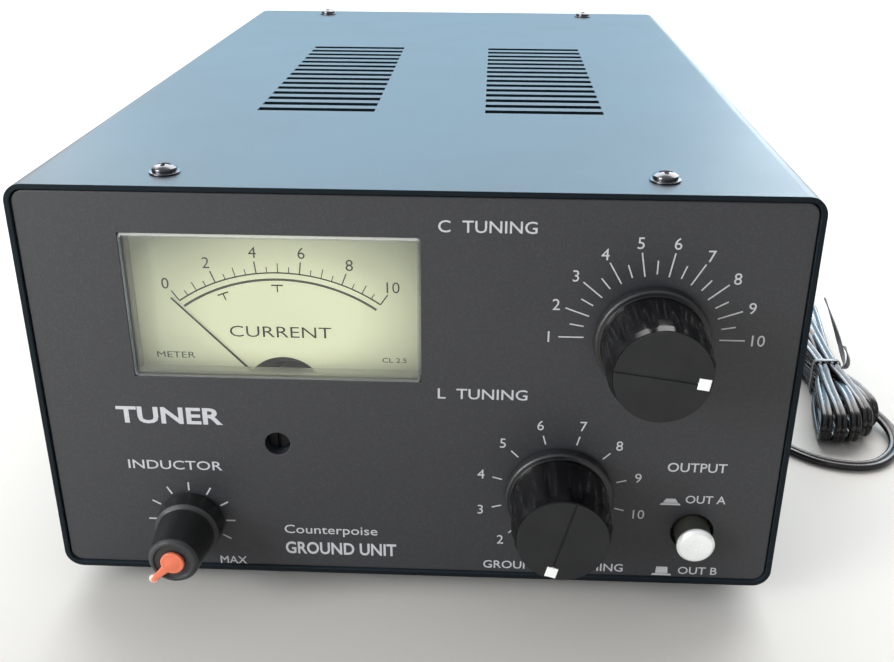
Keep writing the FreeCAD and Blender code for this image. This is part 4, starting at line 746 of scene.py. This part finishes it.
def flutes(angle, radius, height):
    """Shallow finger grooves between lands, which run out at the skirt and towards the cap."""
    if not FLUTE_LOW < height < FLUTE_END or radius < KNOB_NOSE:
        return radius
    share = (angle * FLUTES / (2 * math.pi)) % 1.0 - 0.5
    drop = FLUTE_DEEP * max(0.0, 1 - (share / FLUTE_HALF) ** 2)
    start = (height - FLUTE_LOW) / (FLUTE_FULL - FLUTE_LOW)
    stop = (FLUTE_END - height) / (FLUTE_END - FLUTE_FADE)
    return max(radius - drop * min(1.0, start, stop), KNOB_NOSE)


def make_tuning_knob(letter, body):
    """A black fluted knob with a greyer skirt; its cap and marker are the CAD's own."""
    node = letter + "_knob"
    low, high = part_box(node)
    origin = Vector(((low.x + high.x) / 2, high.y, (low.z + high.z) / 2))
    corners = [
        (0.01, 14.0, 0), (3.05, 14.0, 0), (3.05, 4.5, 0), (8.5, 4.5, 0), (8.5, 0.0, 0), (13.3, 0.0, 0.25),
        (13.5, 0.5, 0.3), (13.5, 2.6, 0.35), (13.1, 3.0, 0.3), (12.15, 3.15, 0.25), (12.08, 15.2, 1.5),
        (11.5, 17.7, 5.0), (11.0, 19.25, 0.3), (10.98, 19.92, 0.05), (10.93, 19.2, 0), (0.01, 19.2, 0),
    ]
    profile = rounded(corners, 4)
    bands = [1 if 0.4 < (a[1] + b[1]) / 2 < 3.1 and min(a[0], b[0]) > 12.4 else 0
             for a, b in zip(profile, profile[1:])]
    work = bmesh.new()
    turned(work, profile, origin, -INWARD, 240, flutes, bands)
    piece(letter + "_knob_moulding", work, [LOOKS["knob_gloss"], SKIRT_BAND], body,
          (node,), 30)


def make_pot_knob():
    """A small tapering knob with a greyer nose and a grey line round its skirt."""
    low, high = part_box("pot_knob")
    origin = Vector(((low.x + high.x) / 2, high.y, (low.z + high.z) / 2))
    corners = [
        (0.01, 12.0, 0), (3.05, 12.0, 0), (3.05, 3.0, 0), (6.0, 3.0, 0), (6.0, 0.0, 0), (8.2, 0.0, 0.2),
        (8.4, 0.6, 0.3), (8.25, 5.0, 0.5), (7.6, 5.6, 0.4), (7.25, 5.9, 0.3), (6.75, 12.0, 30.0),
        (6.25, 16.9, 0.7), (5.6, 17.75, 0.5), (4.9, 17.85, 0), (4.6, 17.45, 0), (3.0, 17.35, 0),
        (0.01, 17.35, 0),
    ]
    profile = rounded(corners, 4)
    shades = [1 if min(a[1], b[1]) > 17.0 or (4.8 < a[1] < 5.5 and a[0] > 7.9) else 0
              for a, b in zip(profile, profile[1:])]
    work = bmesh.new()
    turned(work, profile, origin, -INWARD, 120, None, shades)
    piece("inductor_knob_moulding", work, [LOOKS["pot_knob_black"], NOSE_GREY], "inductor_knob",
          ("pot_knob",), 35)


POINTER_ANGLE = 224  # counter-clockwise from the right, as on the CAD's pointer


def make_pointer():
    """A dished orange disc with an arm that ends in a pale round bead, all in one piece."""
    low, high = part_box("pot_knob")
    x, z = (low.x + high.x) / 2 / MM, (low.z + high.z) / 2 / MM
    front = (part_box("pot_pointer")[0].y - FRONT) / MM
    back = front + 0.9
    disc, arm, tip, reach = 2.95, 1.05, 0.62, 7.25
    turn = math.radians(POINTER_ANGLE)

    def outline(shrink):
        """Round the disc, along the arm and round the tip; u runs outward along the arm."""
        points = []
        open_angle = math.asin(arm / disc)
        for step in range(33):
            angle = open_angle + (2 * math.pi - 2 * open_angle) * step / 32
            points.append(((disc - shrink) * math.cos(angle), (disc - shrink) * math.sin(angle)))
        for step in range(13):
            angle = -math.pi / 2 + math.pi * step / 12
            radius = tip - shrink * 0.6
            points.append((reach + radius * math.cos(angle), radius * math.sin(angle)))
        return points

    def placed(points, depth):
        c, s = math.cos(turn), math.sin(turn)
        return [at(x + c * u - s * v, depth, z + s * u + c * v) for u, v in points]

    work = bmesh.new()
    steps = ((0.12, back), (0.0, back - 0.2),
             (0.0, front + 0.28), (0.1, front + 0.1), (0.28, front + 0.03))
    skin(work, [placed(outline(shrink), depth) for shrink, depth in steps])
    bead = [(0.01, -0.2, 0), (1.2, -0.2, 0.1), (1.2, 0.25, 0.3), (0.7, 0.55, 0.3), (0.01, 0.6, 0)]
    bead = rounded(bead, 3)
    bead_at = placed([(reach - 0.1, 0)], front + 0.62)[0]
    turned(work, bead, bead_at, -INWARD, 32, None, [1] * len(bead))
    rim = [(1.9, -0.2, 0), (2.9, -0.2, 0.1), (2.85, 0.04, 0.12), (2.3, 0.06, 0.12), (1.9, -0.16, 0)]
    turned(work, rounded(rim, 3), at(x, front + 0.06, z), -INWARD, 64)
    piece("inductor_pointer", work, [LOOKS["pointer_orange"], TIP_PALE], "inductor_knob",
          ("pot_pointer",), 40)


def make_cover_screws():
    """Four pan-head screws with a cross recess, each on a thin washer."""
    low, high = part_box("cover_screws")
    washer, top = 3.6, high.z / MM
    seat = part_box("top_cover")[1].z / MM
    head, recess, half_slot, reach = 3.0, 0.85, 0.42, 1.7
    segments = 96
    tip = low.z / MM - seat
    corners = [(0.02, tip, 0), (1.4, tip, 0.2), (1.4, 0.0, 0), (washer, 0.0, 0.08),
               (washer, 0.5, 0.12), (head - 0.05, 0.52, 0), (head, 0.95, 0.3)]
    dome = [(r, top - seat - (r / head) ** 2.2) for r in [head * (1 - i / 26) for i in range(1, 26)]]
    profile = rounded(corners, 3) + dome
    work = bmesh.new()
    for x in (low.x + washer * MM, high.x - washer * MM):
        for y in (low.y + washer * MM, high.y - washer * MM):
            turned(work, profile, Vector((x, y, seat * MM)), UPWARD, segments)
            for vertex in list(work.verts)[-segments * len(dome):]:
                dx, dy = abs(vertex.co.x - x) / MM, abs(vertex.co.y - y) / MM
                across, along = min(dx, dy), max(dx, dy)
                # the cross's side walls are steep and its four ends slope
                wall = max(0.0, min(1.0, (half_slot - across) / 0.12 + 0.5))
                end = max(0.0, min(1.0, (reach - along) / 0.5))
                vertex.co.z -= recess * wall * end * MM
    piece("cover_screw_heads", work, [LOOKS["plated_screw"]], "case", ("cover_screws",), 40)


def make_button():
    """The silver cap of the output switch: a bevelled disc with a slightly domed face."""
    low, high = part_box("button_cap")
    origin = Vector(((low.x + high.x) / 2, high.y, (low.z + high.z) / 2))
    tall = (high.y - low.y) / MM
    dome = [(r, tall - 0.28 * (r / 4.0) ** 2) for r in (3.75, 3.2, 2.6, 2.0, 1.3, 0.7, 0.05)]
    side = rounded([(0.05, 0.0, 0), (4.5, 0.0, 0.15), (4.75, 0.3, 0.2), (4.75, tall - 1.1, 0.4),
                    (4.0, tall - 0.32, 0.4), (3.8, tall - 0.27, 0)], 4)
    work = bmesh.new()
    turned(work, [*side, *dome], origin, -INWARD, 96)
    piece("output_button_cap", work, [LOOKS["button_silver"]], "output_button",
          ("button_cap",), 30)


def make_window():
    """The clear meter cover: a flat pane, a bevelled rim and side walls with a flange behind the panel."""
    low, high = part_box("meter_window")
    x, z = (low.x + high.x) / 2 / MM, (low.z + high.z) / 2 / MM
    front, back = (low.y - FRONT) / MM, (high.y - FRONT) / MM
    flange_w, flange_h = (high.x - low.x) / 2 / MM, (high.z - low.z) / 2 / MM
    wide, tall, flange = 34.9, 18.4, 1.0
    wall, pane, bevel = 0.8, 1.2, 0.45
    inner_w, inner_h = wide - wall, tall - wall
    steps = (
        (inner_w, inner_h, 0.5, front + pane),
        (inner_w, inner_h, 0.5, back),
        (flange_w, flange_h, 1.0, back),
        (flange_w, flange_h, 1.0, back - flange),
        (wide, tall, 0.9, back - flange),
        (wide, tall, 0.9, front + bevel),
        (wide - 0.2, tall - 0.2, 0.8, front + 0.16),
        (wide - bevel, tall - bevel, 0.7, front),
        (inner_w + 0.1, inner_h + 0.1, 0.5, front),
        (inner_w, inner_h, 0.5, front + 0.02),
    )
    loops = [plate_loop(x, z, w, h, corner, depth) for w, h, corner, depth in steps]
    work = bmesh.new()
    skin(work, loops, [0] * (len(loops) - 1))
    for face in work.faces:
        if len(face.verts) > 4:  # the flat ends, which are the two sides of the pane
            face.material_index = 1
    piece("meter_cover_clear", work, [LOOKS["clear_window"], PANE], "case",
          ("meter_window",), 30)


# ---------------------------------------------------------------- printing
def print_c_scale():
    """The C dial: numbers 1 to 10 every 20 degrees, with short strokes between them."""
    x, _, z = centre("c_knob")
    scale = Print(PANEL)
    for i in range(19):
        angle = 180 - 10 * i
        scale.tick(x, z, angle, 15.8 if i % 2 == 0 else 16.2, 21.7 if i % 2 == 0 else 19.5, 0.32)
    for number in range(1, 11):
        angle = math.radians(180 - 20 * (number - 1))
        out = 24.0 if number < 10 else 24.8
        scale.text(str(number), x + out * math.cos(angle), z + out * math.sin(angle), 2.75)
    scale.finish("c_scale", [WHITE_INK])


def print_l_scale():
    """The L dial: ten switch positions every 30 degrees."""
    x, _, z = centre("l_knob")
    scale = Print(PANEL)
    for number in range(1, 11):
        turn = 255 - 30 * (number - 1)
        angle = math.radians(turn)
        scale.tick(x, z, turn, 14.8, 17.3, 0.34)
        out = {1: 19.1, 10: 21.2}.get(number, 20.3)
        scale.text(str(number), x + out * math.cos(angle), z + out * math.sin(angle), 2.6)
    scale.finish("l_scale", [WHITE_INK])


def print_inductor_scale():
    """Nine strokes round the small knob and the word at its clockwise end."""
    x, _, z = centre("pot_knob")
    scale = Print(PANEL)
    for i in range(9):
        scale.tick(x, z, 210 - 30 * i, 8.9, 11.3, 0.4)
    scale.text("MAX", -47.6, 9.9, 2.3)
    scale.finish("inductor_scale", [WHITE_INK])


def print_legends():
    """Plain words beside the controls: middle, height, width and weight in millimetres."""
    legends = Print(PANEL)
    legends.text("C  TUNING", 17.6, 103.6, 2.8, 22.4, 0.02)
    legends.text("L  TUNING", 17.2, 61.0, 2.7, 21.7, 0.02)
    legends.text("INDUCTOR", -60.3, 38.7, 2.5, 24.0, 0.01)
    legends.text("OUTPUT", 70.7, 41.9, 2.5, 14.6, 0.02)
    legends.text("OUT A", 73.7, 32.6, 2.2, 10.0, 0.02)
    legends.text("OUT B", 73.8, 10.8, 2.2, 10.0, 0.02)
    legends.text("GROUND  MATCHING", 36.4, 11.0, 2.3, 36.3, 0.02)
    legends.text("TUNER", -60.3, 53.0, 4.3, 26.5, 0.16)
    legends.text("Counterpoise", -21.4, 20.2, 2.5, 24.2, 0.0)
    legends.text("GROUND UNIT", -19.0, 14.4, 3.5, 29.0, 0.1)
    legends.finish("panel_legends", [WHITE_INK])


def print_icons():
    """Small pictures of the button, low over one output and tall over the other."""
    icons = Print(PANEL)
    for x, z, half, tip, rise in ((65.0, 31.8, 1.9, 1.15, 0.9), (64.6, 10.1, 1.6, 1.45, 1.7)):
        icons.shape([(x - 2.6, z - 1.0), (x + 2.6, z - 1.0), (x + 2.3, z - 0.45), (x - 2.3, z - 0.45)])
        icons.shape([(x - half, z - 0.3), (x + half, z - 0.3), (x + tip, z + rise), (x - tip, z + rise)])
    icons.finish("output_icons", [WHITE_INK])


METER_ARC = (-32.12, 46.62)  # the centre of the printed arc, below the needle's pivot
UNIT_TURN = 7.0  # degrees along the arc for one unit


def print_meter_scale():
    """0 to 10 along an arc, with a thin line above a thick one."""
    x, z = METER_ARC
    start = 90 + 5 * UNIT_TURN
    scale = Print(DIAL)
    scale.arc(x, z, start, start - 10 * UNIT_TURN, 42.3, 42.65)
    scale.arc(x, z, start, start - 10 * UNIT_TURN, 40.45, 41.05, material=1)
    for half in range(21):
        angle = start - half * UNIT_TURN / 2
        outer = 45.6 if half % 4 == 0 else 44.9 if half % 2 == 0 else 44.0
        scale.tick(x, z, angle, 42.5, outer, 0.3 if half % 4 == 0 else 0.22)
    for number in range(0, 11, 2):
        angle = math.radians(start - number * UNIT_TURN)
        scale.text(str(number), x + 47.9 * math.cos(angle), z + 47.9 * math.sin(angle), 2.8, None, -0.02)
    for angle in (90.5, 110.3):
        scale.tick(x, z, angle, 37.5, 39.3, 0.3)
        scale.tick(x, z, angle, 39.1, 39.45, 2.9)
    scale.text("CURRENT", -32.4, 73.6, 2.9, 25.0, -0.02)
    scale.text("METER", -58.8, 66.9, 1.6, 9.5, -0.01)
    scale.text("CL 2.5", -4.6, 66.6, 1.2, 6.0, 0.0)
    scale.finish("meter_scale", [BLACK_INK, GREY_INK])


# ---------------------------------------------------------------- studio
def make_floor():
    """A plain pale floor, ten metres square."""
    half = 5.0
    work = bmesh.new()
    corners = [(-half, -half), (half, -half), (half, half), (-half, half)]
    work.faces.new([work.verts.new((x, y, 0)) for x, y in corners])
    mesh = bpy.data.meshes.new("floor")
    work.to_mesh(mesh)
    work.free()
    look = Look("floor_pale", (0.58, 0.562, 0.53), 0.65)
    look.tint(look.spread(look.noise(180, 4), 0.4, 0.7, 0, 0.4), (0.56, 0.548, 0.525))
    look.bump(look.noise(1.2, 3), 0.02)
    mesh.materials.append(look.material)
    floor = bpy.data.objects.new("floor", mesh)
    bpy.context.scene.collection.objects.link(floor)


def area_light(name, place, target, width, height, power, colour):
    data = bpy.data.lights.new(name, "AREA")
    data.shape = "RECTANGLE"
    data.size, data.size_y = width, height
    data.energy = power
    data.color = colour
    light = bpy.data.objects.new(name, data)
    light.location = place
    light.rotation_euler = (Vector(target) - Vector(place)).to_track_quat("-Z", "Y").to_euler()
    light.visible_camera = False
    bpy.context.scene.collection.objects.link(light)


def make_lights():
    """A soft room, brighter overhead, with a softbox in front, a fill at the left and windows behind."""
    world = bpy.data.worlds.new("studio")
    bpy.context.scene.world = world
    world.use_nodes = True
    nodes, links = world.node_tree.nodes, world.node_tree.links
    split = nodes.new("ShaderNodeSeparateXYZ")
    shade = nodes.new("ShaderNodeValToRGB")
    shade.color_ramp.elements[0].color = (0.27, 0.275, 0.285, 1)
    shade.color_ramp.elements[1].color = (0.7, 0.71, 0.73, 1)
    links.new(nodes.new("ShaderNodeTexCoord").outputs["Generated"], split.inputs["Vector"])
    links.new(split.outputs["Z"], shade.inputs["Fac"])
    links.new(shade.outputs["Color"], nodes["Background"].inputs["Color"])
    middle = (0, 0, 0.05)
    area_light("front_softbox", (-0.8, -1.15, 0.95), middle, 1.2, 0.8, 4.2, (1.0, 0.99, 0.97))
    area_light("left_fill", (-0.62, -0.58, 0.3), (-0.07, -0.15, 0.06), 0.4, 0.4, 6.3, (0.97, 0.99, 1.0))
    area_light("high_window", (0.1, 1.5, 1.75), middle, 4.0, 1.6, 106, (1.0, 0.99, 0.97))
    area_light("blue_window", (0.05, 2.3, 0.95), middle, 2.6, 0.9, 18, (0.24, 0.66, 1.0))
    area_light("right_window", (1.0, 1.9, 0.65), middle, 0.8, 0.7, 12, (0.95, 0.98, 1.0))
    area_light("left_window", (-1.25, 1.9, 0.7), middle, 0.7, 0.7, 3, (1.0, 0.97, 0.95))


def make_camera():
    """In front of the panel and above it, looking down."""
    data = bpy.data.cameras.new("camera")
    data.lens = 42.5
    data.sensor_width = 36
    camera = bpy.data.objects.new("camera", data)
    camera.location = (0.01802, FRONT - 0.22556, 0.18091)
    camera.rotation_euler = [math.radians(a) for a in (65.47, -0.231, 2.514)]
    bpy.context.scene.collection.objects.link(camera)
    bpy.context.scene.camera = camera


# ---------------------------------------------------------------- the scene
make_camera()
make_floor()
make_lights()
bpy.context.scene.view_settings.view_transform = "Standard"
dress_nodes()
lay_cord()
make_tuning_knob("c", "c_tuning_knob")
make_tuning_knob("l", "l_selector_knob")
make_pot_knob()
make_pointer()
make_button()
make_cover_screws()
make_window()
print_c_scale()
print_l_scale()
print_inductor_scale()
print_legends()
print_icons()
print_meter_scale()
